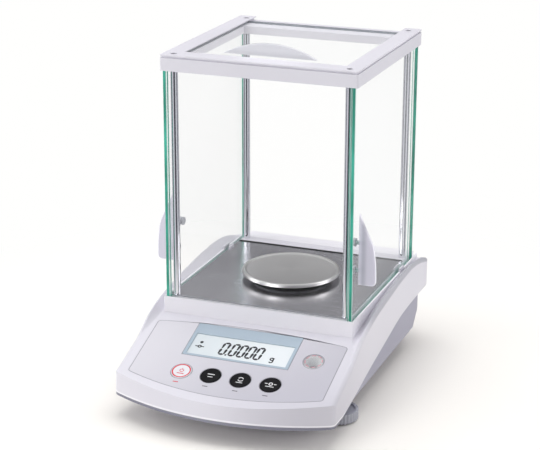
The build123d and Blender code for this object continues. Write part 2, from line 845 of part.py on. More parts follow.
with BuildPart() as chamber_base:
    with BuildSketch(Plane.YZ):
        with BuildLine():
            Polyline(
                (chamber_front_y, base_apron_z),
                (chamber_front_y + apron_length, base_apron_z),
                (chamber_front_y + apron_length, base_low_z),
                (chamber_rear_y, base_low_z),
                (chamber_rear_y, base_top_z),
                (chamber_front_y, base_top_z),
                close=True,
            )
        make_face()
    extrude(amount=chamber_x, both=True)
    upright = chamber_base.edges().filter_by(Axis.Z)
    fillet(upright.group_by(Axis.Y)[0], 1.5)
    upright = chamber_base.edges().filter_by(Axis.Z)
    fillet(upright.group_by(Axis.Y)[-1], chamber_rear_r)
    # the well under the floor plate
    with BuildSketch(Plane.XY.offset(base_low_z + wall)):
        with Locations((0, (chamber_front_y + well_margin + well_rear_y) / 2)):
            Rectangle(2 * (chamber_x - well_margin - 3), well_rear_y - chamber_front_y - well_margin)
    extrude(amount=20, mode=Mode.SUBTRACT)
    with BuildSketch(Plane.XY.offset(base_apron_z - 1)):
        with Locations((0, chamber_front_y + apron_length / 2)):
            Rectangle(2 * (chamber_x - 4), apron_length - 6)
    extrude(amount=base_low_z - base_apron_z - 1, mode=Mode.SUBTRACT)
    with BuildSketch(Plane.XY.offset(base_low_z - 5)):
        with Locations((0, pan_y)):
            Circle(spindle_hole_r - 6)
    extrude(amount=20, mode=Mode.SUBTRACT)
    add(pane_groove(groove_floor_z, 20), mode=Mode.SUBTRACT)
    add(door_groove(groove_floor_z, 20), mode=Mode.SUBTRACT)
    add(guide_block(fit_gap), mode=Mode.SUBTRACT)
    with BuildSketch(Plane.XY.offset(post_low_z)):
        with Locations(*post_places):
            Circle(post_r)
    extrude(amount=20, mode=Mode.SUBTRACT)
save(chamber_base.part, "chamber_base")

with BuildPart() as door_guides:
    add(guide_block(0))
    add(door_groove(groove_floor_z, 20), mode=Mode.SUBTRACT)
save(door_guides.part, "door_guides")

plate_x = side_groove_x[0] - 0.4
with BuildPart() as floor_plate:
    with BuildSketch(Plane.XY.offset(base_top_z)):
        with Locations((0, (plate_front_y + floor_rear_y) / 2)):
            Rectangle(2 * plate_x, floor_rear_y - plate_front_y)
        with Locations(*post_places):
            Circle(post_r + fit_gap, mode=Mode.SUBTRACT)
        with Locations((0, pan_y)):
            Circle(support_hub_r + 2.5, mode=Mode.SUBTRACT)
    extrude(amount=floor_thickness)
    add(guide_block(fit_gap), mode=Mode.SUBTRACT)
save(floor_plate.part, "floor_plate")

deck_front_y = floor_rear_y + 1.2
with BuildPart() as deck_strip:
    with BuildSketch(Plane.XY.offset(base_top_z)):
        with Locations((0, (deck_front_y + deck_rear_y) / 2)):
            Rectangle(2 * plate_x, deck_rear_y - deck_front_y)
        with Locations(*post_places):
            Circle(post_r + fit_gap, mode=Mode.SUBTRACT)
    extrude(amount=floor_thickness)
save(deck_strip.part, "deck_strip")

# ---------------------------------------------------------------- posts and upper frame
socket_depth = 5.0
post_top_z = cap_inner_z + socket_depth
reveal = 1.3                                   # shadow groove around the frame
reveal_drop = 1.3
slot_low_z = top_pane_z - fit_gap
relief_x = side_groove_x[0] - 1.6
slot_x = opening_x + slot_reach
cap_screw_head_r = 2.6
cap_screw_r = 1.5
cap_seat_z = shield_top - 3.2

for place, name in zip(post_places, ("front_left", "front_right", "rear_left", "rear_right")):
    with BuildPart() as post:
        with BuildSketch(Plane.XY.offset(post_low_z)):
            with Locations(place):
                Circle(post_r)
        extrude(amount=post_top_z - post_low_z)
        with BuildSketch(Plane.XY.offset(post_top_z)):
            with Locations(place):
                Circle(cap_screw_r)
        extrude(amount=-12, mode=Mode.SUBTRACT)
    save(post.part, f"{name}_post")

frame_mid_y = (chamber_front_y + cap_rear_y) / 2
frame_length = cap_rear_y - chamber_front_y
with BuildPart() as top_frame:
    with BuildSketch(Plane.XY.offset(cap_low_z)):
        with Locations((0, frame_mid_y)):
            RectangleRounded(2 * chamber_x, frame_length, 1.6)
        with Locations((0, (opening_front_y + opening_rear_y) / 2)):
            Rectangle(2 * opening_x, opening_rear_y - opening_front_y, mode=Mode.SUBTRACT)
    extrude(amount=cap_height)
    # raised underside inside the outer rim
    relief_front_y = pane_front_y + pane_thickness + 1.5
    relief_rear_y = pane_rear_y - pane_thickness - 1.5
    with BuildSketch(Plane.XY.offset(cap_low_z)):
        with Locations((0, (relief_front_y + relief_rear_y) / 2)):
            Rectangle(2 * relief_x, relief_rear_y - relief_front_y)
    extrude(amount=cap_inner_z - cap_low_z, mode=Mode.SUBTRACT)
    add(door_groove(cap_low_z, 8.0), mode=Mode.SUBTRACT)
    add(pane_groove(cap_low_z, 5.0), mode=Mode.SUBTRACT)
    # slots of the top pane, and the lowered rear rail that it slides over
    with BuildSketch(Plane.XY.offset(slot_low_z)):
        with Locations((0, (opening_front_y - slot_reach + rear_y) / 2)):
            Rectangle(2 * slot_x, rear_y - opening_front_y + slot_reach)
    extrude(amount=shield_top - top_lip - slot_low_z, mode=Mode.SUBTRACT)
    with BuildSketch(Plane.XY.offset(slot_low_z)):
        with Locations((0, (opening_rear_y - 5 + rear_y) / 2)):
            Rectangle(2 * opening_x, rear_y - opening_rear_y + 5)
    extrude(amount=20, mode=Mode.SUBTRACT)
    # shadow groove below the upper outer edge
    with BuildSketch(Plane.XY.offset(shield_top - reveal_drop - reveal)):
        with Locations((0, frame_mid_y)):
            Rectangle(2 * chamber_x + 10, frame_length + 10)
            Rectangle(2 * (chamber_x - reveal), frame_length - 2 * reveal, mode=Mode.SUBTRACT)
    extrude(amount=reveal, mode=Mode.SUBTRACT)
    # sockets of the posts, and the seats of their screws
    with BuildSketch(Plane.XY.offset(cap_low_z)):
        with Locations(*post_places):
            Circle(post_r)
    extrude(amount=post_top_z - cap_low_z, mode=Mode.SUBTRACT)
    with BuildSketch(Plane.XY.offset(post_top_z)):
        with Locations(*post_places):
            Circle(cap_screw_r + 0.1)
    extrude(amount=20, mode=Mode.SUBTRACT)
    with BuildSketch(Plane.XY.offset(cap_seat_z)):
        with Locations(*post_places):
            Circle(cap_screw_head_r + 0.2)
    extrude(amount=20, mode=Mode.SUBTRACT)
save(top_frame.part, "top_frame")

with BuildPart() as cap_screws:
    with BuildSketch(Plane.XY.offset(cap_seat_z)):
        with Locations(*post_places):
            Circle(cap_screw_head_r)
    extrude(amount=1.8)
    with BuildSketch(Plane.XY.offset(post_top_z - 10)):
        with Locations(*post_places):
            Circle(cap_screw_r)
    extrude(amount=cap_seat_z - post_top_z + 10)
    with BuildSketch(Plane.XY.offset(cap_seat_z + 0.8)):
        with Locations(*post_places):
            RegularPolygon(1.4, 6)
    extrude(amount=2, mode=Mode.SUBTRACT)
save(cap_screws.part, "cap_screws")

# ---------------------------------------------------------------- fixed panes and seals
seal_thickness = 0.8
pane_low_z = groove_floor_z + seal_thickness
pane_top_z = cap_low_z + 4.6
pane_mids = {"front": pane_front_y + pane_thickness / 2, "rear": pane_rear_y - pane_thickness / 2}
for name, y in pane_mids.items():
    with BuildPart() as pane:
        with BuildSketch(Plane.XY.offset(pane_low_z)):
            with Locations((0, y)):
                Rectangle(2 * pane_x, pane_thickness)
        extrude(amount=pane_top_z - pane_low_z)
        chamfer(pane.edges().filter_by(Axis.Z), 0.3)
    save(pane.part, f"{name}_glass")

with BuildPart() as glass_seals:
    with BuildSketch(Plane.XY.offset(groove_floor_z)):
        with Locations(*[(0, y) for y in pane_mids.values()]):
            Rectangle(2 * pane_x, pane_thickness)
    extrude(amount=seal_thickness)
save(glass_seals.part, "glass_seals")

# ---------------------------------------------------------------- side doors
handle_y = chamber_front_y + 19.4
handle_low_z = 111.1
handle_high_z = 175.4
handle_reach = 15.2
fin_thickness = 5.0
fixing_zs = (124.0, 149.0)
fixing_r = 1.8
door_low_z = groove_floor_z + run_gap
door_top_z = cap_low_z + 7.6
door_length = door_rear_y - door_front_y
knob_length = 7.0


def handle_profile(sign):
    """Side view of a door handle: a fin that swells downwards, standing out from the glass."""
    tall = handle_high_z - handle_low_z
    curve = [(0.25, 0.846), (0.57, 0.687), (0.78, 0.574), (0.915, 0.414), (0.985, 0.235)]
    points = [(0, handle_high_z)]
    points += [(reach * handle_reach, handle_low_z + rise * tall) for reach, rise in curve]
    points.append((handle_reach, handle_low_z + 0.09 * tall))
    points = [(sign * (door_out_x + x), z) for x, z in points]
    corner = (points[-1][0], handle_low_z)
    with BuildSketch(Plane.XZ.offset(-handle_y)) as profile:
        with BuildLine():
            Spline(*points)
            Polyline(points[-1], corner, (points[0][0], handle_low_z), points[0])
        make_face()
        fillet(profile.vertices().sort_by_distance(corner)[0], 3.5)
    return profile.sketch


for side, sign in (("left", -1), ("right", 1)):
    glass_mid_x = sign * (door_in_x + door_out_x) / 2
    holes_plane = Plane(origin=(sign * door_in_x, handle_y, 0), x_dir=(0, 1, 0), z_dir=(sign, 0, 0))
    hole_spots = [(0, sign * z) for z in fixing_zs]
    with BuildPart() as door:
        with BuildSketch(Plane.XY.offset(door_low_z)):
            with Locations((glass_mid_x, (door_front_y + door_rear_y) / 2)):
                Rectangle(glass_thickness, door_length)
        extrude(amount=door_top_z - door_low_z)
        chamfer(door.edges().filter_by(Axis.Z), 0.4)
        with BuildSketch(holes_plane):
            with Locations(*hole_spots):
                Circle(fixing_r)
        extrude(amount=glass_thickness + 1, both=True, mode=Mode.SUBTRACT)
    save(door.part, f"{side}_door_glass")
    with BuildPart() as handle:
        extrude(handle_profile(sign), amount=fin_thickness / 2, both=True)
        long_edges = handle.edges().filter_by(lambda e: abs(e.center().X) > door_out_x + 1)
        fillet(long_edges.filter_by(lambda e: e.bounding_box().size.Y < 0.01), 1.6)
        with BuildSketch(holes_plane.offset(glass_thickness)):
            with Locations(*hole_spots):
                Circle(fixing_r)
        extrude(amount=4.0, mode=Mode.SUBTRACT)
    save(handle.part, f"{side}_handle")
    with BuildPart() as fixings:
        with BuildSketch(holes_plane):
            with Locations(*hole_spots):
                Circle(fixing_r)
        extrude(amount=glass_thickness + 4.0)
        with BuildSketch(holes_plane):
            with Locations(hole_spots[1]):
                Circle(3.6)
        extrude(amount=-knob_length)
        with BuildSketch(holes_plane):
            with Locations(hole_spots[0]):
                Circle(3.6)
        extrude(amount=-2.0)
    save(fixings.part, f"{side}_handle_fixings")

# ---------------------------------------------------------------- top door
top_pane_x = slot_x - run_gap
top_pane_front_y = opening_front_y - slot_reach + run_gap
top_pane_rear_y = opening_rear_y + 14.0
top_handle_y = opening_front_y + 13.5
top_handle_length = 86.0
top_handle_rise = 11.2
with BuildPart() as top_door_glass:
    with BuildSketch(Plane.XY.offset(top_pane_z)):
        with Locations((0, (top_pane_front_y + top_pane_rear_y) / 2)):
            Rectangle(2 * top_pane_x, top_pane_rear_y - top_pane_front_y)
    extrude(amount=top_pane_thickness)
save(top_door_glass.part, "top_door_glass")

with BuildPart() as top_handle:
    with BuildSketch(Plane.XZ.offset(-top_handle_y)):
        z = top_pane_z + top_pane_thickness
        with BuildLine():
            ThreePointArc((-top_handle_length / 2, z), (0, z + top_handle_rise), (top_handle_length / 2, z))
            Line((top_handle_length / 2, z), (-top_handle_length / 2, z))
        make_face()
    extrude(amount=2.0, both=True)
save(top_handle.part, "top_handle")

# ---------------------------------------------------------------- keypad and display
with BuildPart() as keypad_film:
    extrude(film_outline(0, -film_drop), amount=film)
    with BuildSketch(panel_plane.offset(-film_drop)):
        with Locations(bezel_spot):
            Rectangle(bezel_width + 2 * fit_gap, bezel_height + 2 * fit_gap)
        with Locations(*key_spots):
            Circle(key_r + run_gap)
        with Locations(vial_spot):
            Circle(vial_ring_r + fit_gap)
    extrude(amount=film, mode=Mode.SUBTRACT)
save(keypad_film.part, "keypad_film")

lcd_w = -0.8
lcd_thickness = 1.5
lcd_margin = 1.5                               # how far the glass reaches behind the bezel
with BuildPart() as display_bezel:
    with BuildSketch(panel_plane.offset(bezel_low_w)):
        with Locations(bezel_spot):
            RectangleRounded(bezel_width, bezel_height, 0.8)
    extrude(amount=0.1 - bezel_low_w)
    with BuildSketch(panel_plane.offset(bezel_low_w)):
        with Locations(view_spot):
            Rectangle(view_width, view_height)
    extrude(amount=5, mode=Mode.SUBTRACT)
    with BuildSketch(panel_plane.offset(bezel_low_w)):
        with Locations(view_spot):
            Rectangle(view_width + 2 * lcd_margin, view_height + 2 * lcd_margin)
    extrude(amount=lcd_w - bezel_low_w, mode=Mode.SUBTRACT)
save(display_bezel.part, "display_bezel")

with BuildPart() as lcd_panel:
    with BuildSketch(panel_plane.offset(lcd_w - lcd_thickness)):
        with Locations(view_spot):
            Rectangle(view_width + 2 * (lcd_margin - fit_gap), view_height + 2 * (lcd_margin - fit_gap))
    extrude(amount=lcd_thickness)
save(lcd_panel.part, "lcd_panel")

with BuildPart() as backlight:
    with BuildSketch(panel_plane.offset(board_w)):
        with Locations(view_spot):
            Rectangle(view_width - 2, view_height - 1)
    extrude(amount=lcd_w - lcd_thickness - board_w)
save(backlight.part, "backlight")

board_half_x = 56.5
with BuildPart() as display_board:
    with BuildSketch(panel_plane.offset(board_w - board_thickness)):
        with Locations((display_offset, 2.0)):
            Rectangle(2 * board_half_x, 70)
        with Locations(*standoffs):
            Circle(1.2, mode=Mode.SUBTRACT)
    extrude(amount=board_thickness)
save(display_board.part, "display_board")

with BuildPart() as board_screws:
    with BuildSketch(panel_plane.offset(board_w - board_thickness)):
        with Locations(*standoffs):
            Circle(1.0)
    extrude(amount=board_thickness + 4.0)
    with BuildSketch(panel_plane.offset(board_w - board_thickness)):
        with Locations(*standoffs):
            Circle(2.2)
    extrude(amount=-1.4)
save(board_screws.part, "board_screws")

with BuildPart() as key_mat:
    with BuildSketch(panel_plane.offset(board_w)):
        with Locations((key_offset, up_slope(key_y))):
            Rectangle(3 * key_pitch + 2 * key_r + 4, 11)
    extrude(amount=mat_w - board_w)
    with BuildSketch(panel_plane.offset(mat_w)):
        with Locations(*key_spots):
            Circle(3.5)
    extrude(amount=dome_w - mat_w)
save(key_mat.part, "key_mat")

for name, spot in zip(("power_key", "print_key", "mode_key", "tare_key"), key_spots):
    with BuildPart() as key:
        with BuildSketch(panel_plane.offset(key_w["flange"])):
            with Locations(spot):
                Circle(key_r)
        extrude(amount=key_w["top"] - key_w["flange"])
        fillet(key.edges().filter_by(GeomType.CIRCLE).sort_by(Axis.Z)[-1], 0.5)
        with BuildSketch(panel_plane.offset(key_w["flange_low"])):
            with Locations(spot):
                Circle(key_r + 1.4)
        extrude(amount=key_w["flange"] - key_w["flange_low"])
        with BuildSketch(panel_plane.offset(key_w["plunger"])):
            with Locations(spot):
                Circle(2.2)
        extrude(amount=key_w["flange_low"] - key_w["plunger"])
    save(key.part, name)

# ---------------------------------------------------------------- level
vial_top_z = slope_z(vial_y) - 7.0
vial_height = 7.0
with BuildPart() as slope_block:
    with BuildSketch(panel_plane.offset(-60)):
        Rectangle(2 * body_width, 2 * body_width)
    extrude(amount=60 - film_drop)

with BuildPart() as level_holder:
    with BuildSketch(Plane.XY.offset(vial_top_z - vial_height - 2)):
        with Locations((vial_x, vial_y)):
            Circle(vial_r + 1.7)
    extrude(amount=40)
    add(slope_block.part, mode=Mode.INTERSECT)
    with BuildSketch(Plane.XY.offset(vial_top_z - vial_height)):
        with Locations((vial_x, vial_y)):
            Circle(vial_r)
    extrude(amount=40, mode=Mode.SUBTRACT)
save(level_holder.part, "level_holder")

with BuildPart() as level_vial:
    with BuildSketch(Plane.XY.offset(vial_top_z - vial_height)):
        with Locations((vial_x, vial_y)):
            Circle(vial_r - 0.05)
    extrude(amount=vial_height)
    fillet(level_vial.edges().filter_by(GeomType.CIRCLE).sort_by(Axis.Z)[-1], 0.8)
save(level_vial.part, "level_vial")

with BuildPart() as level_window:
    with BuildSketch(panel_plane.offset(-film_drop)):
        with Locations(vial_spot):
            Circle(vial_ring_r)
    extrude(amount=film_drop + 0.1)
save(level_window.part, "level_window")

# ---------------------------------------------------------------- main board and connectors
panel_thickness = 2.0
panel_in_y = port_y - panel_thickness
jack_x = 38.0
jack_z = port_low_z + 9.0
jack_bore_r = 2.8
jack_nose_r = 4.3
serial_x = -22.0
serial_z = port_low_z + 9.0
serial_width = 17.0
serial_height = 8.4
serial_depth = 6.0
shell_wall = 0.6
slider_x = 12.0
slider_z = port_low_z + 9.0
slider_travel = 4.0
slider_size = (3.6, 3.2)
slot_size = (slider_size[0] + slider_travel + 2 * run_gap, slider_size[1] + 2 * run_gap)
shield_size = (38.0, 22.0)                     # cover over the weighing electronics

with BuildPart() as main_board:
    with BuildSketch(Plane.XY.offset(board_z)):
        with Locations((0, (board_y + panel_in_y) / 2)):
            Rectangle(2 * port_x, panel_in_y - board_y)
    extrude(amount=board_thickness)
save(main_board.part, "main_board")
board_top_z = board_z + board_thickness

with BuildPart() as adc_shield:
    with BuildSketch(Plane.XY.offset(board_top_z)):
        with Locations((-30, board_y + 14)):
            RectangleRounded(*shield_size, 1.5)
    extrude(amount=6)
save(adc_shield.part, "adc_shield")

with BuildPart() as connector_panel:
    with BuildSketch(Plane.XZ.offset(-panel_in_y)):
        with Locations((0, (board_z + port_high_z) / 2)):
            Rectangle(2 * (port_x + port_frame - 0.4), port_high_z - board_z)
        with Locations((jack_x, jack_z)):
            Circle(jack_nose_r, mode=Mode.SUBTRACT)
        with Locations((serial_x, serial_z)):
            Rectangle(serial_width, serial_height, mode=Mode.SUBTRACT)
        with Locations((slider_x + slider_travel / 2, slider_z)):
            Rectangle(slot_size[0], slot_size[1], mode=Mode.SUBTRACT)
    extrude(amount=-panel_thickness)
save(connector_panel.part, "connector_panel")

with BuildPart() as power_inlet:
    with BuildSketch(Plane.XZ.offset(-panel_in_y)):
        with Locations((jack_x, (board_top_z + jack_z + 5) / 2)):
            Rectangle(10, jack_z + 5 - board_top_z)
    extrude(amount=13)
    with BuildSketch(Plane.XZ.offset(-panel_in_y)):
        with Locations((jack_x, jack_z)):
            Circle(jack_nose_r)
    extrude(amount=-panel_thickness - 0.8)
    with BuildSketch(Plane.XZ.offset(-(port_y + 0.8))):
        with Locations((jack_x, jack_z)):
            Circle(jack_bore_r)
    extrude(amount=10, mode=Mode.SUBTRACT)
save(power_inlet.part, "power_inlet")

with BuildPart() as serial_port:
    with BuildSketch(Plane.XZ.offset(-panel_in_y)):
        with Locations((serial_x, (board_top_z + serial_z + 5) / 2)):
            Rectangle(30, serial_z + 5 - board_top_z)
    extrude(amount=9)
    with BuildSketch(Plane.XZ.offset(-panel_in_y)) as shell_sketch:
        with Locations((serial_x, serial_z)):
            Trapezoid(serial_width, serial_height, 80, rotation=180)
        fillet(shell_sketch.vertices(), 1.5)
    extrude(amount=-panel_thickness - serial_depth + 2)
    with BuildSketch(Plane.XZ.offset(-panel_in_y - 1)) as cup_sketch:
        with Locations((serial_x, serial_z)):
            Trapezoid(serial_width - 2 * shell_wall, serial_height - 2 * shell_wall, 80, rotation=180)
        fillet(cup_sketch.vertices(), 1.0)
    extrude(amount=-panel_thickness - serial_depth, mode=Mode.SUBTRACT)
save(serial_port.part, "serial_port")

with BuildPart() as lock_slider:
    with BuildSketch(Plane.XZ.offset(-(port_y + 1.6))):
        with Locations((slider_x, slider_z)):
            Rectangle(*slider_size)
    extrude(amount=panel_thickness + 1.6 + 0.6)
    with BuildSketch(Plane.XZ.offset(-(panel_in_y - run_gap))):
        with Locations((slider_x, slider_z)):
            Rectangle(slider_size[0] + 5, slider_size[1] + 4)
    extrude(amount=2.0)
save(lock_slider.part, "lock_slider")
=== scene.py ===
import json
import math

import bmesh
import bpy
from mathutils import Matrix, Vector


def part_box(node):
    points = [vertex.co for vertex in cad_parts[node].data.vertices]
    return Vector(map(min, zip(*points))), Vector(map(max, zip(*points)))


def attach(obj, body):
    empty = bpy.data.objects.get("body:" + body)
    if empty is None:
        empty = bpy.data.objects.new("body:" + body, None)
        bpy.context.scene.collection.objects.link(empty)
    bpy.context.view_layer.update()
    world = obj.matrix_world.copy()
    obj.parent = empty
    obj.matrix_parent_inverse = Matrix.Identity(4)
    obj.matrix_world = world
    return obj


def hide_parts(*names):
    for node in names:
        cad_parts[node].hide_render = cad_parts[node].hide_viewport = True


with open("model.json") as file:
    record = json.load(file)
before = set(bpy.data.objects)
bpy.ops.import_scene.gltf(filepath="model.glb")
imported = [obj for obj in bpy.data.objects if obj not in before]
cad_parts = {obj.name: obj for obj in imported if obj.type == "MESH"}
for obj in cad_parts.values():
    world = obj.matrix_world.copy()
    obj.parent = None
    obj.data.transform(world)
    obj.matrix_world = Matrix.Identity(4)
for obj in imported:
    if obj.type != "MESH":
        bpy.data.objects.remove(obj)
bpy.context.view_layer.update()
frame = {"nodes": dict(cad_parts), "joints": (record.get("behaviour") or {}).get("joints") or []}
nodes = frame["nodes"]
scene = bpy.context.scene
mm = 0.001
micron = 0.000001


# places read from the frame

def boxMiddle(node):
    low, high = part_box(node)
    return (low + high) / 2


def jointAxis(name):  # the way the joint moves as its value grows
    return Vector(next(j["axis"] for j in frame["joints"] if j["name"] == name)).normalized()


slopeNormal = -jointAxis("power_key_press")  # out of the keypad slope
slopeTurn = Matrix((Vector((1, 0, 0)), slopeNormal.cross(Vector((1, 0, 0))), slopeNormal)).transposed()
slopeBack = slopeTurn.inverted()


def slopeBox(node):  # a node's lowest and highest corner, measured along and out of the slope
    points = [slopeBack @ v.co for v in nodes[node].data.vertices]
    low = Vector(min(p[i] for p in points) for i in range(3))
    high = Vector(max(p[i] for p in points) for i in range(3))
    return low, high


def onSlope(u, v, w):  # the place of something drawn flat on the slope
    return Matrix.Translation(slopeTurn @ Vector((u, v, w))) @ slopeTurn.to_4x4()


filmHigh = slopeBox("keypad_film")[1]
lcdLow, lcdHigh = slopeBox("lcd_panel")
panMiddle = boxMiddle("weighing_pan")
bodyMiddle = boxMiddle("top_housing")
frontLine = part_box("top_housing")[0].y  # the housing's foremost place
lipLine = min(v.co.z for v in nodes["top_housing"].data.vertices if v.co.y < frontLine + 3 * mm)
print("frame read:", len(nodes), "nodes")


# shader maths

def tint(red, green, blue):  # a screen colour, 0 to 255, as the renderer counts it
    parts = [c / 255 for c in (red, green, blue)]
    return tuple(p / 12.92 if p <= 0.04045 else ((p + 0.055) / 1.055) ** 2.4 for p in parts) + (1.0,)


class Value:  # a socket that sums and products can be written with
    def __init__(self, finish, socket):
        self.finish = finish
        self.socket = socket

    def __add__(self, other):
        return self.finish.maths("ADD", self, other)

    __radd__ = __add__

    def __sub__(self, other):
        return self.finish.maths("SUBTRACT", self, other)

    def __rsub__(self, other):
        return self.finish.maths("SUBTRACT", other, self)

    def __mul__(self, other):
        return self.finish.maths("MULTIPLY", self, other)

    __rmul__ = __mul__

    def __truediv__(self, other):
        return self.finish.maths("DIVIDE", self, other)


class Finish:  # a node tree being filled
    def __init__(self, owner, outputKind="ShaderNodeOutputMaterial"):
        owner.use_nodes = True
        self.owner = owner
        self.tree = owner.node_tree
        self.tree.nodes.clear()
        self.output = self.tree.nodes.new(outputKind)

    def node(self, kind, settings=None, inputs=None, output=0):
        made = self.tree.nodes.new(kind)
        for key, setting in (settings or {}).items():
            if key == "stops":
                self.fillRamp(made.color_ramp, setting)
            else:
                setattr(made, key, setting)
        for key, value in (inputs or {}).items():
            if isinstance(value, Value):
                self.tree.links.new(value.socket, made.inputs[key])
            else:
                made.inputs[key].default_value = value
        return Value(self, made.outputs[output])

    def fillRamp(self, ramp, stops):
        ramp.elements[0].position = stops[0][0]
        ramp.elements[-1].position = stops[-1][0]
        for place, colour in stops[1:-1]:
            ramp.elements.new(place)
        for element, (place, colour) in zip(ramp.elements, stops):
            element.color = colour

    def maths(self, operation, first, second=0.0):
        return self.node("ShaderNodeMath", {"operation": operation}, {0: first, 1: second})

    def between(self, value, low, high):  # 0 below low, 1 above high, smooth in between
        return self.node("ShaderNodeMapRange", {"interpolation_type": "SMOOTHSTEP"},
                         {"Value": value, "From Min": low, "From Max": high})

    def blend(self, share, first, second):  # colours
        return self.node("ShaderNodeMix", {"data_type": "RGBA"}, {0: share, 6: first, 7: second}, 2)

    def coordinates(self, middle=(0, 0, 0), scale=(1, 1, 1)):
        place = self.node("ShaderNodeTexCoord", None, None, "Object")
        return self.node("ShaderNodeMapping", {"vector_type": "TEXTURE"},
                         {"Vector": place, "Location": middle, "Scale": scale})

    def axes(self, vector):
        split = self.node("ShaderNodeSeparateXYZ", None, {"Vector": vector})
        return [Value(self, socket) for socket in split.socket.node.outputs]

    def noise(self, vector, scale, detail=2.0, roughness=0.5):
        return self.node("ShaderNodeTexNoise", None,
                         {"Vector": vector, "Scale": scale, "Detail": detail, "Roughness": roughness})

    def bump(self, height, distance):
        return self.node("ShaderNodeBump", None, {"Height": height, "Distance": distance, "Strength": 1.0})

    def principled(self, inputs):
        return self.node("ShaderNodeBsdfPrincipled", None, inputs)

    def done(self, shader):
        self.tree.links.new(shader.socket, self.output.inputs["Surface"])
        return self.owner


# camera, light and floor

cameraView = {
    "lens": 112.24, "sensor": 36.0,
    "turn": 21.05, "tilt": 18.24, "roll": 0.14,  # degrees
    "right": 505.9, "front": 1335.4, "up": 614.8,  # mm from the balance's middle, on the table
}


def makeCamera():
    data = bpy.data.cameras.new("camera")
    data.lens = cameraView["lens"]
    data.sensor_width = cameraView["sensor"]
    camera = bpy.data.objects.new("camera", data)
    scene.collection.objects.link(camera)
    turn = Matrix.Rotation(math.radians(cameraView["turn"]), 4, "Z")
    tilt = Matrix.Rotation(math.radians(90 - cameraView["tilt"]), 4, "X")
    roll = Matrix.Rotation(math.radians(cameraView["roll"]), 4, "Z")
    spot = Vector((cameraView["right"], -cameraView["front"], cameraView["up"])) * mm
    camera.matrix_world = Matrix.Translation(spot) @ turn @ tilt @ roll
    scene.camera = camera


softboxes = {
    "overheadSoftbox": {"at": (-0.1, 0.3, 1.5), "size": (1.6, 1.4), "power": 14.5},
    "leftSoftbox": {"at": (-1.5, -0.5, 0.7), "size": (0.8, 1.2), "power": 8.0},
    "rightSoftbox": {"at": (1.4, 0.3, 0.7), "size": (0.7, 1.1), "power": 6.0},
    "frontFill": {"at": (-0.8, -1.9, 0.8), "size": (1.0, 0.7), "power": 11.0},
}


def makeLights():
    aim = bodyMiddle + Vector((0, 0, 80 * mm))
    for name, box in softboxes.items():
        data = bpy.data.lights.new(name, "AREA")
        data.shape = "RECTANGLE"
        data.size, data.size_y = box["size"]
        data.energy = box["power"]
        light = bpy.data.objects.new(name, data)
        scene.collection.objects.link(light)
        light.location = box["at"]
        light.visible_glossy = name != "overheadSoftbox"  # from above, steel would mirror it as plain white
        light.rotation_euler = (aim - Vector(box["at"])).to_track_quat("-Z", "Y").to_euler()


roomGlow = {
    "level": 0.55, "horizon": tint(150, 150, 156), "zenith": tint(250, 250, 252),
    "plain": tint(255, 255, 255),  # what the camera sees behind the table
    "flags": 5.0, "flag": tint(60, 60, 66), "flagShare": 0.75,  # dark upright flags between the lights
    "liftFrom": 0.05, "liftTo": 0.75,
}


def makeRoom():
    world = bpy.data.worlds.new("studioRoom")
    scene.world = world
    room = Finish(world, "ShaderNodeOutputWorld")
    x, y, z = room.axes(room.node("ShaderNodeTexCoord", None, None, "Generated"))
    around = room.maths("ARCTAN2", y, x)
    flags = room.maths("SINE", around * roomGlow["flags"]) * 0.5 + 0.5
    lift = room.between(z, roomGlow["liftFrom"], roomGlow["liftTo"])
    wall = room.blend(lift, roomGlow["horizon"], roomGlow["zenith"])
    wall = room.blend(flags * (1 - lift) * roomGlow["flagShare"], wall, roomGlow["flag"])
    lit = room.node("ShaderNodeBackground", None, {"Color": wall, "Strength": roomGlow["level"]})
    seen = room.node("ShaderNodeBackground", None, {"Color": roomGlow["plain"], "Strength": 1.0})
    straight = room.node("ShaderNodeLightPath", None, None, "Is Camera Ray")
    room.done(room.node("ShaderNodeMixShader", None, {0: straight, 1: lit, 2: seen}))


tableTop = {
    "reach": 6.0, "colour": tint(255, 255, 254), "near": tint(253, 250, 245),
    "shadowed": 0.16, "plain": 0.46,  # shadows fade out from here to here
    "cardsFrom": 0.22, "cardsTo": 0.42, "cardsTurn": 21.0,
    "cards": [  # white cards and dark gaps that steel mirrors, from behind to before the balance
        (0.0, tint(92, 92, 100)), (0.08, tint(120, 120, 128)), (0.14, tint(236, 236, 242)),
        (0.28, tint(240, 240, 246)), (0.36, tint(112, 112, 120)), (0.6, tint(96, 96, 104)),
        (0.7, tint(216, 216, 222)), (0.92, tint(226, 226, 232)), (0.97, tint(72, 72, 80)),
        (1.0, tint(64, 64, 72)),
    ],
}


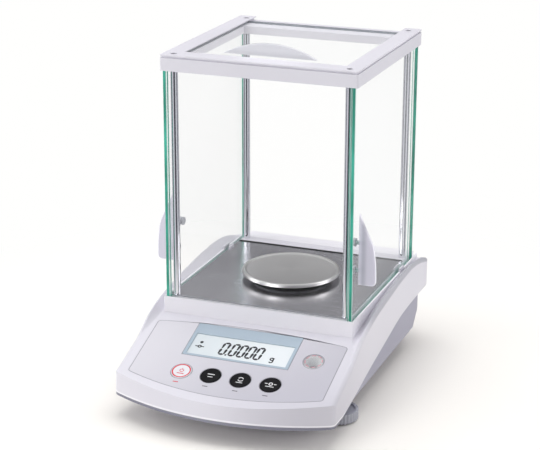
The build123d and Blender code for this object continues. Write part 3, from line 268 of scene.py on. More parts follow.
def makeFloor():
    shape = bmesh.new()
    bmesh.ops.create_grid(shape, x_segments=2, y_segments=2, size=tableTop["reach"])
    data = bpy.data.meshes.new("tableTop")
    shape.to_mesh(data)
    shape.free()
    floor = bpy.data.objects.new("tableTop", data)
    scene.collection.objects.link(floor)
    table = Finish(bpy.data.materials.new("tableTop"))
    white = table.node("ShaderNodeBsdfDiffuse", None, {"Color": tableTop["near"]})
    x, y = table.axes(table.coordinates(bodyMiddle))[:2]
    away = table.maths("SQRT", x * x + y * y)
    apart = table.between(away, tableTop["cardsFrom"], tableTop["cardsTo"])
    cardsTurn = math.radians(tableTop["cardsTurn"])
    before = (x * math.sin(cardsTurn) - y * math.cos(cardsTurn)) / away * 0.5 + 0.5
    cards = table.node("ShaderNodeValToRGB", {"stops": tableTop["cards"]}, {0: before})
    mirrored = table.node("ShaderNodeEmission", None, {"Color": cards, "Strength": 1.0})
    glow = table.node("ShaderNodeEmission", None, {"Color": tableTop["colour"], "Strength": 1.0})
    glossy = table.node("ShaderNodeLightPath", None, None, "Is Glossy Ray")
    far = table.between(away, tableTop["shadowed"], tableTop["plain"])
    sweep = table.node("ShaderNodeMixShader", None, {0: far, 1: white, 2: glow})
    top = table.node("ShaderNodeMixShader", None, {0: glossy * apart, 1: sweep, 2: mirrored})
    data.materials.append(table.done(top))


makeCamera()
makeLights()
makeRoom()
makeFloor()
scene.view_settings.view_transform = "Standard"
print("camera, light and floor made")


# finishes

def mouldedPlastic(name, colour, roughness, grain, fineness, mottle, coat=0.0, shine=0.5):  # grain in microns
    finish = Finish(bpy.data.materials.new(name))
    place = finish.coordinates()
    cloud = finish.noise(place, 9, 3)
    texture = finish.noise(place, fineness, 2, 0.6)
    darker = tuple(c * (1 - 3 * mottle) for c in colour[:3]) + (1.0,)
    return finish.done(finish.principled({
        "Base Color": finish.blend(finish.between(cloud, 0.3, 0.75), darker, colour),
        "Roughness": roughness + (texture - 0.5) * 0.16 + (cloud - 0.5) * 0.1,
        "Coat Weight": coat,
        "Coat Roughness": 0.12,
        "Specular IOR Level": shine,
        "Normal": finish.bump(texture, grain * micron),
    }))


def housingPlastic():  # pale shell with painted shade low on the front and towards the right, painted shade on the right rail's rounding, and a painted dark band with a painted highlight above it along the front's lower edge
    look = {
        "pale": tint(228, 226, 234), "shade": tint(196, 194, 204), "roughness": 0.4, "grain": 50,
        "rail": tint(186, 186, 193), "railIn": 86, "railOut": 94, "railStart": 100, "railFull": 140,
        "lipShade": tint(128, 128, 142), "lipShadeHeight": 2.0, "bright": tint(246, 245, 250), "lipHighlightTo": 3.4,
        "frontDepth": 50,  # places in mm, grain in microns
    }
    finish = Finish(bpy.data.materials.new("housingPlastic"))
    place = finish.coordinates()
    x, y, z = finish.axes(place)
    cloud = finish.noise(place, 7, 3)
    spark = finish.noise(place, 1400, 2, 0.65)
    # painted shade: the shell greys low on the front, more so towards the right
    low = finish.between(y + cloud * 0.02, -20 * mm, -160 * mm)
    side = finish.between(x, -40 * mm, 100 * mm)
    body = finish.blend(low * (0.2 + 0.6 * side), look["pale"], look["shade"])
    frontEnd = frontLine + look["frontDepth"] * mm
    front = 1 - finish.between(y, frontEnd, frontEnd + 20 * mm)
    # painted shade: a dark band along the front's lower edge, in place of the shaded tray edge beneath it
    lipShadeTop = lipLine + look["lipShadeHeight"] * mm
    # painted highlight: a light band just above the dark band
    lipHighlightTop = lipLine + look["lipHighlightTo"] * mm
    lipShade = (1 - finish.between(z, lipShadeTop, lipShadeTop + 0.4 * mm)) * front
    bright = finish.between(z, lipShadeTop + 0.2 * mm, lipShadeTop + 0.6 * mm) * (
        1 - finish.between(z, lipHighlightTop, lipHighlightTop + 0.6 * mm)) * front
    body = finish.blend(bright * 0.8, finish.blend(lipShade, body, look["lipShade"]), look["bright"])
    # painted shade on the right rail's rounding, where it turns from the top to the side
    upward = finish.axes(finish.node("ShaderNodeNewGeometry", None, None, "Normal"))[2]
    outside = finish.between(x, look["railIn"] * mm, look["railOut"] * mm)
    behind = finish.between(y, frontLine + look["railStart"] * mm, frontLine + look["railFull"] * mm)
    rail = finish.between(upward, 0.12, 0.3) * outside * behind * (0.75 + 0.25 * cloud)
    return finish.done(finish.principled({
        "Base Color": finish.blend(rail, body, look["rail"]),
        "Roughness": look["roughness"] + (spark - 0.5) * 0.2 + (cloud - 0.5) * 0.08,
        "Normal": finish.bump(spark, look["grain"] * micron),
    }))


def printedFilm():
    look = {"pale": tint(219, 217, 224), "shade": tint(190, 188, 199)}
    finish = Finish(bpy.data.materials.new("printedFilm"))
    place = finish.coordinates(boxMiddle("keypad_film"))
    x, y = finish.axes(place)[:2]
    linen = finish.noise(place, 2600, 1, 0.4)
    # painted shade: the film greys towards the right and towards its lower edge
    fade = finish.between(x - y * 1.2 + finish.noise(place, 12) * 0.03, -0.1, 0.17)
    return finish.done(finish.principled({
        "Base Color": finish.blend(fade, look["pale"], look["shade"]),
        "Roughness": 0.36 + (linen - 0.5) * 0.2,
        "Coat Weight": 0.15 + 0.05 * linen,
        "Coat Roughness": 0.25,
        "Normal": finish.bump(linen, 20 * micron),
    }))


def brushedSteel(name, colour, along, roughness, depth=12):  # strokes are fine where along is large
    finish = Finish(bpy.data.materials.new(name))
    strokes = finish.noise(finish.coordinates(scale=tuple(1 / a for a in along)), 40, 3, 0.7)
    cloud = finish.noise(finish.coordinates(), 11, 3)
    darker = tuple(c * 0.74 for c in colour[:3]) + (1.0,)
    return finish.done(finish.principled({
        "Base Color": finish.blend(finish.between(strokes * 0.6 + cloud * 0.4, 0.3, 0.7), darker, colour),
        "Metallic": 1.0,
        "Roughness": roughness + (strokes - 0.5) * 0.18 + (cloud - 0.5) * 0.1,
        "Normal": finish.bump(strokes, depth * micron),
    }))


def turnedSteel(name, colour, middle, roughness):  # fine rings from the lathe, about an upright axis, with a painted sheen that swings round it
    finish = Finish(bpy.data.materials.new(name))
    x, y, z = finish.axes(finish.coordinates(middle))
    radius = finish.maths("SQRT", x * x + y * y)
    angle = finish.maths("ARCTAN2", y, x)
    along = finish.node("ShaderNodeCombineXYZ", None, {"X": radius * 160, "Y": z * 160, "Z": 0.0})
    rings = finish.noise(along, 16, 3, 0.75)
    # painted sheen: the colour lightens and darkens twice round the axis
    paintedSheen = finish.maths("SINE", angle * 2.0 + 0.7) * 0.5 + 0.5
    cloud = finish.noise(finish.coordinates(middle), 22, 3)
    darker = tuple(c * 0.86 for c in colour[:3]) + (1.0,)
    return finish.done(finish.principled({
        "Base Color": finish.blend(rings * 0.4 + paintedSheen * 0.4 + cloud * 0.2, darker, colour),
        "Metallic": 1.0,
        "Roughness": roughness + (rings - 0.5) * 0.16 + (cloud - 0.5) * 0.08,
        "Normal": finish.bump(rings, 3 * micron),
    }))


def polishedPost():
    finish = Finish(bpy.data.materials.new("polishedPost"))
    drawn = finish.noise(finish.coordinates(scale=(1 / 300, 1 / 300, 1)), 6, 2, 0.6)
    cloud = finish.noise(finish.coordinates(), 30, 2)
    return finish.done(finish.principled({
        "Base Color": finish.blend(drawn, tint(214, 215, 220), tint(240, 240, 244)),
        "Metallic": 1.0,
        "Roughness": 0.09 + (cloud - 0.5) * 0.05,
        "Normal": finish.bump(drawn, micron),
    }))


def clearGlass():  # polished faces of a pane
    finish = Finish(bpy.data.materials.new("clearGlass"))
    smear = finish.noise(finish.coordinates(), 14, 4, 0.55)
    fresnel = finish.node("ShaderNodeFresnel", None, {"IOR": 1.46})
    through = finish.node("ShaderNodeBsdfTransparent", None, {"Color": (1.0, 1.0, 1.0, 1.0)})
    mirror = finish.principled({
        "Base Color": tint(250, 252, 252),
        "Roughness": 0.02 + finish.between(smear, 0.55, 0.8) * 0.03,
        "Specular IOR Level": 1.0,
    })
    share = fresnel * 0.17 + finish.between(smear, 0.6, 0.9) * 0.008
    return finish.done(finish.node("ShaderNodeMixShader", None, {0: share, 1: through, 2: mirror}))


def glassEdge():  # ground edge of a pane, where the green of the glass shows, with a painted glow for light carried along the pane
    finish = Finish(bpy.data.materials.new("glassEdge"))
    place = finish.coordinates(scale=(1, 1, 3))
    streak = finish.noise(place, 60, 3, 0.6)
    frost = finish.noise(finish.coordinates(), 1800, 1)
    return finish.done(finish.principled({
        "Base Color": finish.blend(finish.between(streak, 0.35, 0.7), tint(8, 116, 96), tint(54, 176, 152)),
        "Roughness": 0.22 + 0.15 * frost,
        "Coat Weight": 0.6,
        "Coat Roughness": 0.08,
        # painted light: the edge glows green
        "Emission Color": tint(16, 130, 108),
        "Emission Strength": 0.28,
        "Normal": finish.bump(frost, 10 * micron),
    }))


def glassArris():  # narrow chamfers along the edges
    finish = Finish(bpy.data.materials.new("glassArris"))
    frost = finish.noise(finish.coordinates(), 2200, 1)
    return finish.done(finish.principled({
        "Base Color": finish.blend(frost, tint(176, 222, 212), tint(224, 244, 238)),
        "Roughness": 0.3 + 0.2 * frost,
        "Coat Weight": 0.5,
        "Normal": finish.bump(frost, 10 * micron),
    }))


# painted shade: a grey band down the side fins' core, for the shading of their rounded form
finCoreShade = {"colour": tint(150, 147, 163), "from": 1.2, "full": 4.0, "fading": 4.2, "to": 8.5}  # mm outwards


def clearMoulding(name, core, rim, least, most, lit, coreShadeShare=0.0):  # painted highlight on the rims, a greyer middle, a painted glow, and a painted shade down a fin's core
    finish = Finish(bpy.data.materials.new(name))
    flow = finish.noise(finish.coordinates(scale=(1, 1, 2)), 26, 3)
    facing = finish.node("ShaderNodeLayerWeight", None, {"Blend": 0.35}, "Facing")
    # painted highlight: paler where the surface is seen edge-on
    glow = finish.between(facing + (flow - 0.5) * 0.3, 0.12, 0.6)
    # painted shade down the fin's core, by distance outwards from the fin's inner face
    out = finish.maths("ABSOLUTE", finish.axes(finish.coordinates())[0]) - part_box("right_handle")[0].x
    coreShade = finish.between(out, finCoreShade["from"] * mm, finCoreShade["full"] * mm) * (
        1 - finish.between(out, finCoreShade["fading"] * mm, finCoreShade["to"] * mm))
    body = finish.principled({
        "Base Color": finish.blend(coreShade * coreShadeShare, finish.blend(glow, core, rim), finCoreShade["colour"]),
        "Roughness": 0.12 + 0.08 * flow,
        "Coat Weight": 0.7,
        "Coat Roughness": 0.04,
        # painted light: the moulding glows faintly in its rim colour
        "Emission Color": rim,
        "Emission Strength": lit,
        "Normal": finish.bump(flow, 80 * micron),
    })
    through = finish.node("ShaderNodeBsdfTransparent", None, {"Color": tint(246, 247, 252)})
    share = least + (most - least) * glow
    return finish.done(finish.node("ShaderNodeMixShader", None, {0: share, 1: through, 2: body}))


def lcdFace():  # pale display, a little brighter where its lamp sits
    finish = Finish(bpy.data.materials.new("lcdFace"))
    x, y = finish.axes(finish.coordinates(boxMiddle("lcd_panel")))[:2]
    fade = finish.between(x + finish.noise(finish.coordinates(), 20) * 0.02, -45 * mm, 50 * mm)
    grid = finish.maths("SINE", x * 9000) * finish.maths("SINE", y * 9000)
    colour = finish.blend(fade, tint(208, 215, 219), tint(223, 228, 231))
    return finish.done(finish.principled({
        "Base Color": colour,
        "Roughness": 0.16 + grid * 0.03,
        "Coat Weight": 0.5,
        "Coat Roughness": 0.05,
        "Emission Color": colour,
        "Emission Strength": 0.16,
    }))


def ink(name, colour, roughness=0.5):
    finish = Finish(bpy.data.materials.new(name))
    speck = finish.noise(finish.coordinates(), 2400, 2)
    faded = tuple(min(1.0, c * 1.3 + 0.01) for c in colour[:3]) + (1.0,)
    return finish.done(finish.principled({
        "Base Color": finish.blend(speck * 0.7, colour, faded),
        "Roughness": roughness + (speck - 0.5) * 0.2,
    }))


def vialLiquid():
    finish = Finish(bpy.data.materials.new("vialLiquid"))
    haze = finish.noise(finish.coordinates(), 200, 2)
    facing = finish.node("ShaderNodeLayerWeight", None, {"Blend": 0.4}, "Facing")
    body = finish.principled({
        "Base Color": finish.blend(haze, tint(186, 184, 196), tint(214, 212, 222)),
        "Roughness": 0.06 + 0.04 * haze,
        "Coat Weight": 0.8,
    })
    through = finish.node("ShaderNodeBsdfTransparent", None, {"Color": tint(240, 240, 246)})
    share = 0.25 + 0.5 * facing
    return finish.done(finish.node("ShaderNodeMixShader", None, {0: share, 1: through, 2: body}))


# each row of the next tables is a finish's settings, in the order that its function takes them
mouldings = {  # name, colour, roughness, grain in microns and its fineness, mottle, coat, shine
    "shield": ("shieldPlastic", tint(226, 224, 232), 0.38, 30, 1300, 0.015),
    "chamber": ("chamberPlastic", tint(246, 244, 250), 0.38, 30, 1300, 0.012),
    "tray": ("trayPlastic", tint(176, 175, 191), 0.48, 60, 900, 0.03),
    "foot": ("footPlastic", tint(190, 192, 202), 0.45, 50, 1000, 0.04),
    "filmShadeLine": ("filmShadeLine", tint(148, 146, 157), 0.4, 20, 1500, 0.02),
    "bezel": ("bezelPrint", tint(176, 192, 206), 0.34, 10, 2000, 0.02, 0.3),
    "lightKey": ("lightKey", tint(236, 235, 240), 0.32, 20, 1500, 0.01, 0.3),
    "darkKey": ("darkKey", tint(20, 19, 22), 0.45, 20, 1500, 0.04, 0.0, 0.18),
    "glassReveal": ("glassReveal", tint(150, 156, 162), 0.3, 10, 1500, 0.04, 0.4),
    "darkPlastic": ("darkPlastic", tint(46, 46, 50), 0.4, 40, 1200, 0.05),
    "lightGuide": ("lightGuide", tint(236, 238, 240), 0.2, 10, 1500, 0.01, 0.4),
    "board": ("boardResin", tint(24, 88, 60), 0.35, 20, 700, 0.06, 0.4),
    "rubber": ("blackRubber", tint(38, 38, 41), 0.7, 80, 1100, 0.06),
    "paleSeal": ("paleSeal", tint(190, 192, 198), 0.6, 40, 1100, 0.03),
}
steels = {  # name, colour, fineness of the strokes along each axis, roughness, depth in microns
    "floorSteel": ("floorSteel", tint(242, 241, 246), (1, 60, 60), 0.24),
    "screwSteel": ("screwSteel", tint(150, 151, 156), (60, 60, 1), 0.3),
    "cast": ("castAlloy", tint(176, 177, 180), (8, 8, 8), 0.5, 30),
    "brass": ("brass", tint(208, 176, 104), (30, 30, 1), 0.3),
}
inks = {
    "redInk": tint(204, 32, 52),
    "paleRedInk": tint(214, 150, 162),
    "whiteInk": tint(226, 226, 230),
    "greyInk": tint(96, 94, 104),
}
looks = {
    "housing": housingPlastic(),
    "film": printedFilm(),
    "lcd": lcdFace(),
    "glass": clearGlass(),
    "glassEdge": glassEdge(),
    "glassArris": glassArris(),
    "fin": clearMoulding("finPlastic", tint(196, 192, 206), tint(244, 243, 250), 0.75, 0.97, 0.22, 0.8),
    "topFin": clearMoulding("topFinPlastic", tint(214, 214, 219), tint(236, 236, 241), 0.9, 1.0, 0.16),
    "vial": vialLiquid(),
    "post": polishedPost(),
    "panSteel": turnedSteel("panSteel", tint(255, 254, 252), panMiddle, 0.36),
    "lcdInk": ink("lcdInk", tint(28, 30, 36), 0.35),
}
looks.update({look: mouldedPlastic(*settings) for look, settings in mouldings.items()})
looks.update({look: brushedSteel(*settings) for look, settings in steels.items()})
looks.update({look: ink(look, colour) for look, colour in inks.items()})

nodeLooks = {
    "housing": ["top_housing"],
    "shield": ["top_frame", "door_guides", "deck_strip"],
    "chamber": ["chamber_base"],
    "tray": ["base_tray", "hook_cover", "connector_panel"],
    "foot": ["left_foot_knob", "right_foot_knob"],
    "film": ["keypad_film"],
    "bezel": ["display_bezel"],
    "lcd": ["lcd_panel"],
    "lightKey": ["power_key"],
    "darkKey": ["print_key", "mode_key", "tare_key"],
    "glass": ["front_glass", "rear_glass", "left_door_glass", "right_door_glass", "top_door_glass",
              "level_window"],
    "fin": ["left_handle", "right_handle"],
    "topFin": ["top_handle"],
    "vial": ["level_vial"],
    "post": ["front_left_post", "front_right_post", "rear_left_post", "rear_right_post"],
    "floorSteel": ["floor_plate"],
    "panSteel": ["weighing_pan"],
    "screwSteel": ["housing_screws", "cap_screws", "cell_screws", "board_screws", "pan_spindle", "adc_shield",
                   "serial_port"],
    "cast": ["load_cell", "cell_mount", "pan_support", "below_hook"],
    "darkPlastic": ["power_inlet", "lock_slider"],
    "lightGuide": ["backlight", "level_holder"],
    "board": ["main_board", "display_board"],
    "brass": ["foot_inserts"],
    "rubber": ["rear_feet", "left_foot_pad", "right_foot_pad", "key_mat", "support_pads"],
    "paleSeal": ["glass_seals", "left_handle_fixings", "right_handle_fixings"],
}
for look, members in nodeLooks.items():
    for member in members:
        slots = nodes[member].data.materials
        slots.clear()
        slots.append(looks[look])
print("finishes made:", len(looks))


# making pieces

def piece(name, shape, body, finishes, standsFor=(), sharp=30):
    data = bpy.data.meshes.new(name)
    shape.to_mesh(data)
    shape.free()
    made = bpy.data.objects.new(name, data)
    scene.collection.objects.link(made)
    for finish in finishes:
        data.materials.append(looks[finish])
    data.shade_smooth()
    data.set_sharp_from_angle(angle=math.radians(sharp))
    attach(made, body)
    if standsFor:
        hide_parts(*standsFor)
    return made


def spun(profile, segments):  # a round shape from its side view, as pairs of radius and height in mm
    shape = bmesh.new()
    points = [shape.verts.new((radius * mm, 0, height * mm)) for radius, height in profile]
    edges = [shape.edges.new(pair) for pair in zip(points, points[1:])]
    bmesh.ops.spin(shape, geom=points + edges, axis=(0, 0, 1), cent=(0, 0, 0), steps=segments,
                   angle=2 * math.pi, use_merge=True)
    bmesh.ops.remove_doubles(shape, verts=shape.verts, dist=micron)
    bmesh.ops.recalc_face_normals(shape, faces=shape.faces)
    return shape


def moved(shape, matrix):
    bmesh.ops.transform(shape, matrix=matrix, verts=shape.verts)
    return shape


def joined(shapes):
    whole = bmesh.new()
    for shape in shapes:
        data = bpy.data.meshes.new("joining")
        shape.to_mesh(data)
        shape.free()
        whole.from_mesh(data)
        bpy.data.meshes.remove(data)
    return whole


def cadShape(node):  # a node's mesh as one clean surface, to be worked on
    shape = bmesh.new()
    shape.from_mesh(nodes[node].data)
    bmesh.ops.remove_doubles(shape, verts=shape.verts, dist=micron)
    return shape


# flat marks, drawn in mm on a plane and raised by the thickness of the print

markHeight = 0.05 * mm


def raised(shape):  # flat faces drawn at height 0 become a thin slab
    faces = bmesh.ops.extrude_face_region(shape, geom=shape.faces[:])
    lifted = [part for part in faces["geom"] if isinstance(part, bmesh.types.BMVert)]
    bmesh.ops.translate(shape, vec=(0, 0, markHeight), verts=lifted)
    bmesh.ops.recalc_face_normals(shape, faces=shape.faces)
    return shape


def bar(length, width, pointed=False):
    shape = bmesh.new()
    if pointed:  # a display segment: a bar with a point at each end
        bmesh.ops.create_circle(shape, cap_ends=True, segments=6, radius=1)
        bmesh.ops.scale(shape, vec=(width * mm, width * mm / math.sqrt(3), 1), verts=shape.verts)
        for vert in shape.verts:
            vert.co.x += math.copysign((length / 2 - width) * mm, vert.co.x)
    else:
        bmesh.ops.create_grid(shape, x_segments=1, y_segments=1, size=0.5)
        bmesh.ops.scale(shape, vec=(length * mm, width * mm, 1), verts=shape.verts)
    return raised(shape)


def disc(radius, segments=40):
    shape = bmesh.new()
    bmesh.ops.create_circle(shape, cap_ends=True, segments=segments, radius=radius * mm)
    return raised(shape)


def ring(radius, width, start=0.0, angle=360.0, segments=64):
    shape = bmesh.new()
    points = [shape.verts.new(((radius + side * width / 2) * mm, 0, 0)) for side in (-1, 1)]
    edge = shape.edges.new(points)
    bmesh.ops.spin(shape, geom=points + [edge], axis=(0, 0, 1), cent=(0, 0, 0), steps=segments,
                   angle=math.radians(angle), use_merge=angle == 360)
    bmesh.ops.rotate(shape, matrix=Matrix.Rotation(math.radians(start), 3, "Z"), verts=shape.verts)
    return raised(shape)


def at(shape, across, up, turn=0.0):
    spot = Matrix.Translation((across * mm, up * mm, 0)) @ Matrix.Rotation(math.radians(turn), 4, "Z")
    return moved(shape, spot)


# glass panes: clear faces, green edges and pale arrises

paneSides = {
    "front_glass": ("base", 1),
    "rear_glass": ("base", 1),
    "left_door_glass": ("left_door", 0),
    "right_door_glass": ("right_door", 0),
    "top_door_glass": ("top_door", 2),
}


def makePanes():
    for node, (body, thin) in paneSides.items():
        shape = cadShape(node)
        bmesh.ops.dissolve_limit(shape, angle_limit=math.radians(0.5), verts=shape.verts, edges=shape.edges)
        low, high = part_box(node)
        edge = "glassReveal" if thin == 2 else "glassEdge"
        for face in shape.faces:
            flat = abs(face.normal[thin])
            spot = face.calc_center_median()
            outer = min(min(spot[i] - low[i], high[i] - spot[i]) for i in range(3) if i != thin) < 2 * mm
            face.material_index = 0 if flat > 0.95 else 1 if flat < 0.2 and outer else 2  # holes are pale
        finishes = ("glass", edge, "glassArris")
        piece(node.replace("_glass", "_pane"), shape, body, finishes, [node])


# weighing pan, pressed from thin sheet with a rolled rim

panSheet = {"radius": 45.0, "flat": 40.4, "step": 2.4, "dip": 0.9, "roll": 1.5, "skin": 0.8, "hem": 0.25,
            "cuts": 8}


def makePan():
    p = panSheet
    low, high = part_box("weighing_pan")
    top, lowEdge = high.z / mm, low.z / mm
    profile = [(0, top - p["dip"]), (p["flat"], top - p["dip"])]
    for i in range(1, p["cuts"] + 1):  # the soft step up to the rim
        share = i / p["cuts"]
        rise = 0.5 - 0.5 * math.cos(math.pi * share)
        profile.append((p["flat"] + p["step"] * share, top - p["dip"] * (1 - rise)))
    for i in range(1, p["cuts"] + 1):  # the rolled outer edge
        turn = math.pi / 2 * i / p["cuts"]
        profile.append((p["radius"] - p["roll"] * (1 - math.sin(turn)),
                        top - p["roll"] * (1 - math.cos(turn))))
    inner = p["radius"] - p["skin"]
    underside = top - p["dip"] - p["skin"]
    profile += [(p["radius"], lowEdge + p["hem"]), (p["radius"] - p["hem"], lowEdge), (inner + 0.2, lowEdge),
                (inner, lowEdge + 0.2), (inner, underside - 0.5), (inner - 0.8, underside), (0, underside)]
    shape = moved(spun(profile, 160), Matrix.Translation((panMiddle.x, panMiddle.y, 0)))
    piece("weighingPan", shape, "pan", ["panSteel"], ["weighing_pan"], 40)


# keys: dished caps with a soft rim

keyCap = {"rim": 0.55, "dish": 0.35, "flange": 1.4, "flangeThick": 1.0, "skirt": 3.7, "stem": 2.2, "cuts": 6}
keyMarks = {
    "power_key": {"slot": "light_key", "finish": "lightKey", "ink": "redInk"},
    "print_key": {"slot": "dark_key", "finish": "darkKey", "ink": "whiteInk"},
    "mode_key": {"slot": "dark_key", "finish": "darkKey", "ink": "whiteInk"},
    "tare_key": {"slot": "dark_key", "finish": "darkKey", "ink": "whiteInk"},
}


def keySymbol(node, edge):
    if node == "power_key":  # a line round the cap, and a broken ring with a stroke over a bar
        return [ring(edge - 0.65, 1.1), at(ring(1.7, 0.6, 120, 300), 0, 0.9), at(bar(0.6, 2.0), 0, 2.4),
                at(bar(6.4, 0.8), 0, -3.0)]
    if node == "print_key":  # two lines
        return [at(bar(6.4, 0.9), 0, 1.5), at(bar(4.6, 0.7), 0, -1.7)]
    if node == "mode_key":  # two arcs that chase each other, over a bar
        return [at(ring(2.2, 0.8, 20, 140), 0, 1.0), at(ring(2.2, 0.8, 200, 140), 0, 1.0),
                at(bar(6.0, 0.7), 0, -3.2)]
    return [at(bar(2.4, 0.8), -4.0, 1.0), at(bar(2.4, 0.8), 4.0, 1.0),  # a ring between dashes, over a bar
            at(ring(1.5, 0.8), 0, 1.0), at(bar(7.6, 0.7), 0, -2.4)]


def makeKeys():
    k = keyCap
    for node, look in keyMarks.items():
        low, high = slopeBox(node)
        middle = (low + high) / 2
        radius = (high.x - low.x) / 2 / mm - k["flange"]
        top = high.z / mm
        flangeTop, flangeEnd = top - k["skirt"], top - k["skirt"] - k["flangeThick"]
        dishRadius = radius - k["rim"] - 0.5
        profile = [(0, top - k["dish"])]
        for i in range(1, k["cuts"] + 1):
            share = i / k["cuts"]
            profile.append((share * dishRadius, top - k["dish"] * (1 - share ** 2)))
        for i in range(k["cuts"] + 1):
            turn = math.pi / 2 * i / k["cuts"]
            profile.append((radius - k["rim"] * (1 - math.sin(turn)),
                            top - k["rim"] * (1 - math.cos(turn))))
        profile += [(radius, flangeTop), (radius + k["flange"], flangeTop), (radius + k["flange"], flangeEnd),
                    (k["stem"], flangeEnd), (k["stem"], low.z / mm), (0, low.z / mm)]
        shape = moved(spun(profile, 72), onSlope(middle.x, middle.y, 0))
        piece(node + "_cap", shape, node, [look["finish"]], [node])
        marks = joined(keySymbol(node, radius - k["rim"]))
        for vert in marks.verts:  # the print lies in the dish
            share = min(1.0, math.hypot(vert.co.x, vert.co.y) / (dishRadius * mm))
            vert.co.z -= k["dish"] * mm * (1 - share ** 2)
        moved(marks, onSlope(middle.x, middle.y, high.z))
        piece(node + "_print", marks, node, [look["ink"]])


# small prints on the film under the keys

filmDash = {"length": 4.8, "width": 0.9, "below": 3.2}


def makeFilmPrints():
    marks = []
    for node in keyMarks:
        low, high = slopeBox(node)
        spot = onSlope((low.x + high.x) / 2, low.y - filmDash["below"] * mm, filmHigh.z)
        marks.append(moved(bar(filmDash["length"], filmDash["width"]), spot))
    piece("powerPrint", marks[0], "base", ["redInk"])
    piece("filmPrints", joined(marks[1:]), "base", ["greyInk"])


# display: leaning seven-bar digits and a few plain signs

digitForm = {"height": 14.6, "width": 5.0, "stroke": 2.1, "pitch": 7.7, "lean": 7.0, "gap": 0.1, "places": 5,
             "point": 0.95, "pointRoom": 1.4}
digitRow = {"first": 31.5, "base": 6.6}  # from the left and lower edge of the display's glass
unitSign = {"fromRight": 16.5, "up": 1.5, "bowl": 1.4, "stroke": 1.25}
leftSigns = {"across": 9.5, "dotUp": 17.9, "dot": 1.5, "ringUp": 12.4, "ring": 1.3, "stroke": 1.1,
             "barOut": 2.8, "bar": 2.6, "barWidth": 1.05}


def nought():  # all bars but the middle one
    d = digitForm
    half, wide = d["height"] / 2, d["width"]
    bars = []
    for up in (0, d["height"]):
        bars.append(at(bar(wide - 2 * d["gap"], d["stroke"], True), 0, up))
    for across in (-wide / 2, wide / 2):
        for up in (half / 2, half * 1.5):
            bars.append(at(bar(half - 2 * d["gap"], d["stroke"], True), across, up, 90))
    return joined(bars)


def makeReadout():
    d, u, l = digitForm, unitSign, leftSigns
    first, base = digitRow["first"], digitRow["base"]
    slant = math.tan(math.radians(d["lean"]))
    lean = Matrix(((1, slant, 0, -slant * base * mm), (0, 1, 0, 0), (0, 0, 1, 0), (0, 0, 0, 1)))
    digits = [at(nought(), first, base), at(disc(d["point"], 12), first + d["width"] / 2 + 2.1, base - 0.2)]
    for place in range(1, d["places"]):
        digits.append(at(nought(), first + place * d["pitch"] + d["pointRoom"], base))
    signs = [moved(joined(digits), lean)]
    across, up = (lcdHigh.x - lcdLow.x) / mm - u["fromRight"], base + u["up"]
    signs += [  # the unit: a bowl, a stem and a tail
        at(ring(u["bowl"], u["stroke"]), across, up + 1.6),
        at(bar(u["stroke"], 4.9), across + 1.5, up + 0.8),
        at(ring(u["bowl"], u["stroke"], 200, 160), across, up - 1.4),
    ]
    signs.append(at(disc(l["dot"]), l["across"], l["dotUp"]))
    signs.append(at(ring(l["ring"], l["stroke"]), l["across"], l["ringUp"]))
    for side in (-1, 1):
        signs.append(at(bar(l["bar"], l["barWidth"]), l["across"] + side * l["barOut"], l["ringUp"]))
    piece("readout", moved(joined(signs), onSlope(lcdLow.x, lcdLow.y, lcdHigh.z)), "base", ["lcdInk"])


# level: printed ring, liquid and bubble

levelMarks = {
    "dashRadius": 7.4, "dashWidth": 0.7, "dashAngle": 30, "dashStep": 45,
    "bubble": [(0, 1.0), (1.0, 0.85), (1.8, 0.45), (2.1, 0), (1.8, -0.3), (1.0, -0.45), (0, -0.5)],
    "bubbleUp": 0.3, "circle": 3.0, "circleWidth": 0.3, "circleUp": 0.02,
}


def makeLevel():
    m = levelMarks
    low, high = slopeBox("level_window")
    middle = (low + high) / 2
    dashes = [ring(m["dashRadius"], m["dashWidth"], start, m["dashAngle"], 10)
              for start in range(0, 360, m["dashStep"])]
    dashes = moved(joined(dashes), onSlope(middle.x, middle.y, high.z))
    piece("levelRing", dashes, "base", ["paleRedInk"])
    vial, top = boxMiddle("level_vial"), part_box("level_vial")[1].z
    bubble = moved(spun(m["bubble"], 40), Matrix.Translation((vial.x, vial.y, top + m["bubbleUp"] * mm)))
    piece("levelBubble", bubble, "base", ["whiteInk"])
    circle = ring(m["circle"], m["circleWidth"])
    moved(circle, Matrix.Translation((vial.x, vial.y, top + m["circleUp"] * mm)))
    piece("levelCircle", circle, "base", ["lcdInk"])


# shells with softened edges

softEdges = {  # body, look, slot, and the soft edge's width
    "top_frame": ("base", "shield", "housing", 0.45),
    "chamber_base": ("base", "chamber", "housing", 0.5),
    "top_housing": ("base", "housing", "housing", 0.4),
    "base_tray": ("base", "tray", "tray", 0.5),
    "door_guides": ("base", "shield", "housing", 0.4),
    "deck_strip": ("base", "shield", "housing", 0.3),
    "display_bezel": ("base", "bezel", "bezel", 0.12),
    "left_foot_knob": ("left_knob", "foot", "tray", 0.35),
    "right_foot_knob": ("right_knob", "foot", "tray", 0.35),
    "top_handle": ("top_door", "topFin", "clear_plastic", 0.6),
    "connector_panel": ("base", "tray", "tray", 0.3),
    "lock_slider": ("slider", "darkPlastic", "dark_plastic", 0.3),
}
flatWithin = math.radians(0.4)  # faces this near to one plane become one


def softenShells():
    for node, (body, look, slot, width) in softEdges.items():
        shape = cadShape(node)
        bmesh.ops.dissolve_limit(shape, angle_limit=flatWithin, verts=shape.verts, edges=shape.edges)
        made = piece(node.replace("_", "") + "Shell", shape, body, [look], [node], 32)
        bevel = made.modifiers.new("softEdge", "BEVEL")
        bevel.width = width * mm
        bevel.segments = 2
        bevel.limit_method = "ANGLE"
        bevel.angle_limit = math.radians(38)
        made.modifiers.new("evenShading", "WEIGHTED_NORMAL").keep_sharp = True


# painted shade: a black strip in the shaded gap behind the steel floor

floorGapShade = {"width": 2.4, "proud": 0.6, "inset": 1.0, "rounding": 0.2}


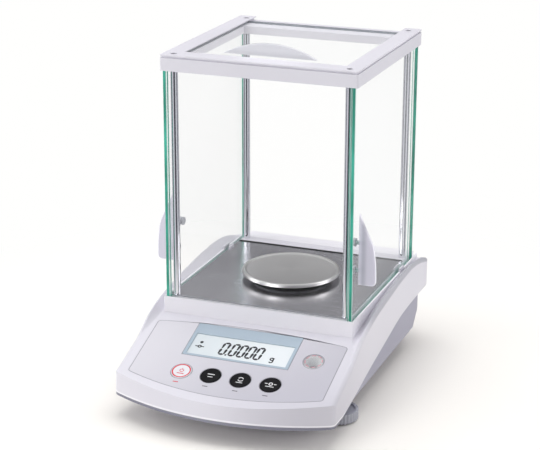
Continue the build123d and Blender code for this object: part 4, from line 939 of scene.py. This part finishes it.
def makeGapShade():
    low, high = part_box("floor_plate")
    shape = bmesh.new()
    bmesh.ops.create_cube(shape, size=1)
    size = Vector((high.x - low.x, floorGapShade["width"] * mm, 2 * floorGapShade["proud"] * mm))
    size.x -= 2 * floorGapShade["inset"] * mm
    bmesh.ops.scale(shape, vec=size, verts=shape.verts)
    bmesh.ops.bevel(shape, geom=shape.edges[:], offset=floorGapShade["rounding"] * mm, offset_type="OFFSET",
                    segments=2, profile=0.5, affect="EDGES", material=-1, clamp_overlap=True)
    moved(shape, Matrix.Translation(((low.x + high.x) / 2, high.y, high.z)))
    piece("floorGapShade", shape, "base", ["rubber"])


# pins of the two rear sockets

serialPin = {"rows": ((5, 1.42), (4, -1.42)), "pitch": 2.77, "radius": 0.5, "length": 4.6, "back": 0.9}
inletPin = {"radius": 1.0, "length": 7.0, "back": 1.2}


def pin(how, across, rear, up):  # a round pin with a rounded tip, lying along the depth
    radius, length = how["radius"], how["length"]
    tip = radius * 0.6
    profile = [(0, 0), (radius, 0), (radius, length - tip), (radius - tip / 2, length - tip / 4), (0, length)]
    shape = moved(spun(profile, 16), Matrix.Rotation(math.radians(-90), 4, "X"))
    return moved(shape, Matrix.Translation((across, rear - (how["back"] + length) * mm, up)))


def makeRearPins():
    middle, rear = boxMiddle("serial_port"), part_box("serial_port")[1].y
    pins = []
    for count, up in serialPin["rows"]:
        for number in range(count):
            across = (number - (count - 1) / 2) * serialPin["pitch"]
            pins.append(pin(serialPin, middle.x + across * mm, rear, middle.z + up * mm))
    piece("serialPins", joined(pins), "base", ["brass"])
    middle, rear = boxMiddle("power_inlet"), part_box("power_inlet")[1].y
    piece("inletPin", pin(inletPin, middle.x, rear, middle.z), "base", ["screwSteel"])


# film with a darker line round its edge and its windows, painted shade for the thin dark gaps round the keys

filmShadeLineWidth = 0.45 * mm


def makeFilm():
    shape = cadShape("keypad_film")
    bmesh.ops.dissolve_limit(shape, angle_limit=flatWithin, verts=shape.verts, edges=shape.edges)
    upper = [face for face in shape.faces if face.normal.dot(slopeNormal) > 0.99]
    # painted shade: a darker line round the film's edge and its windows
    line = bmesh.ops.inset_region(shape, faces=upper, thickness=filmShadeLineWidth, depth=0, use_even_offset=True)
    for face in line["faces"]:
        face.material_index = 1
    piece("keypadFilm", shape, "base", ["film", "filmShadeLine"], ["keypad_film"])


softenShells()
makeFilm()
makeGapShade()
makeRearPins()
makePanes()
makePan()
makeKeys()
makeFilmPrints()
makeReadout()
makeLevel()
print("pieces made")
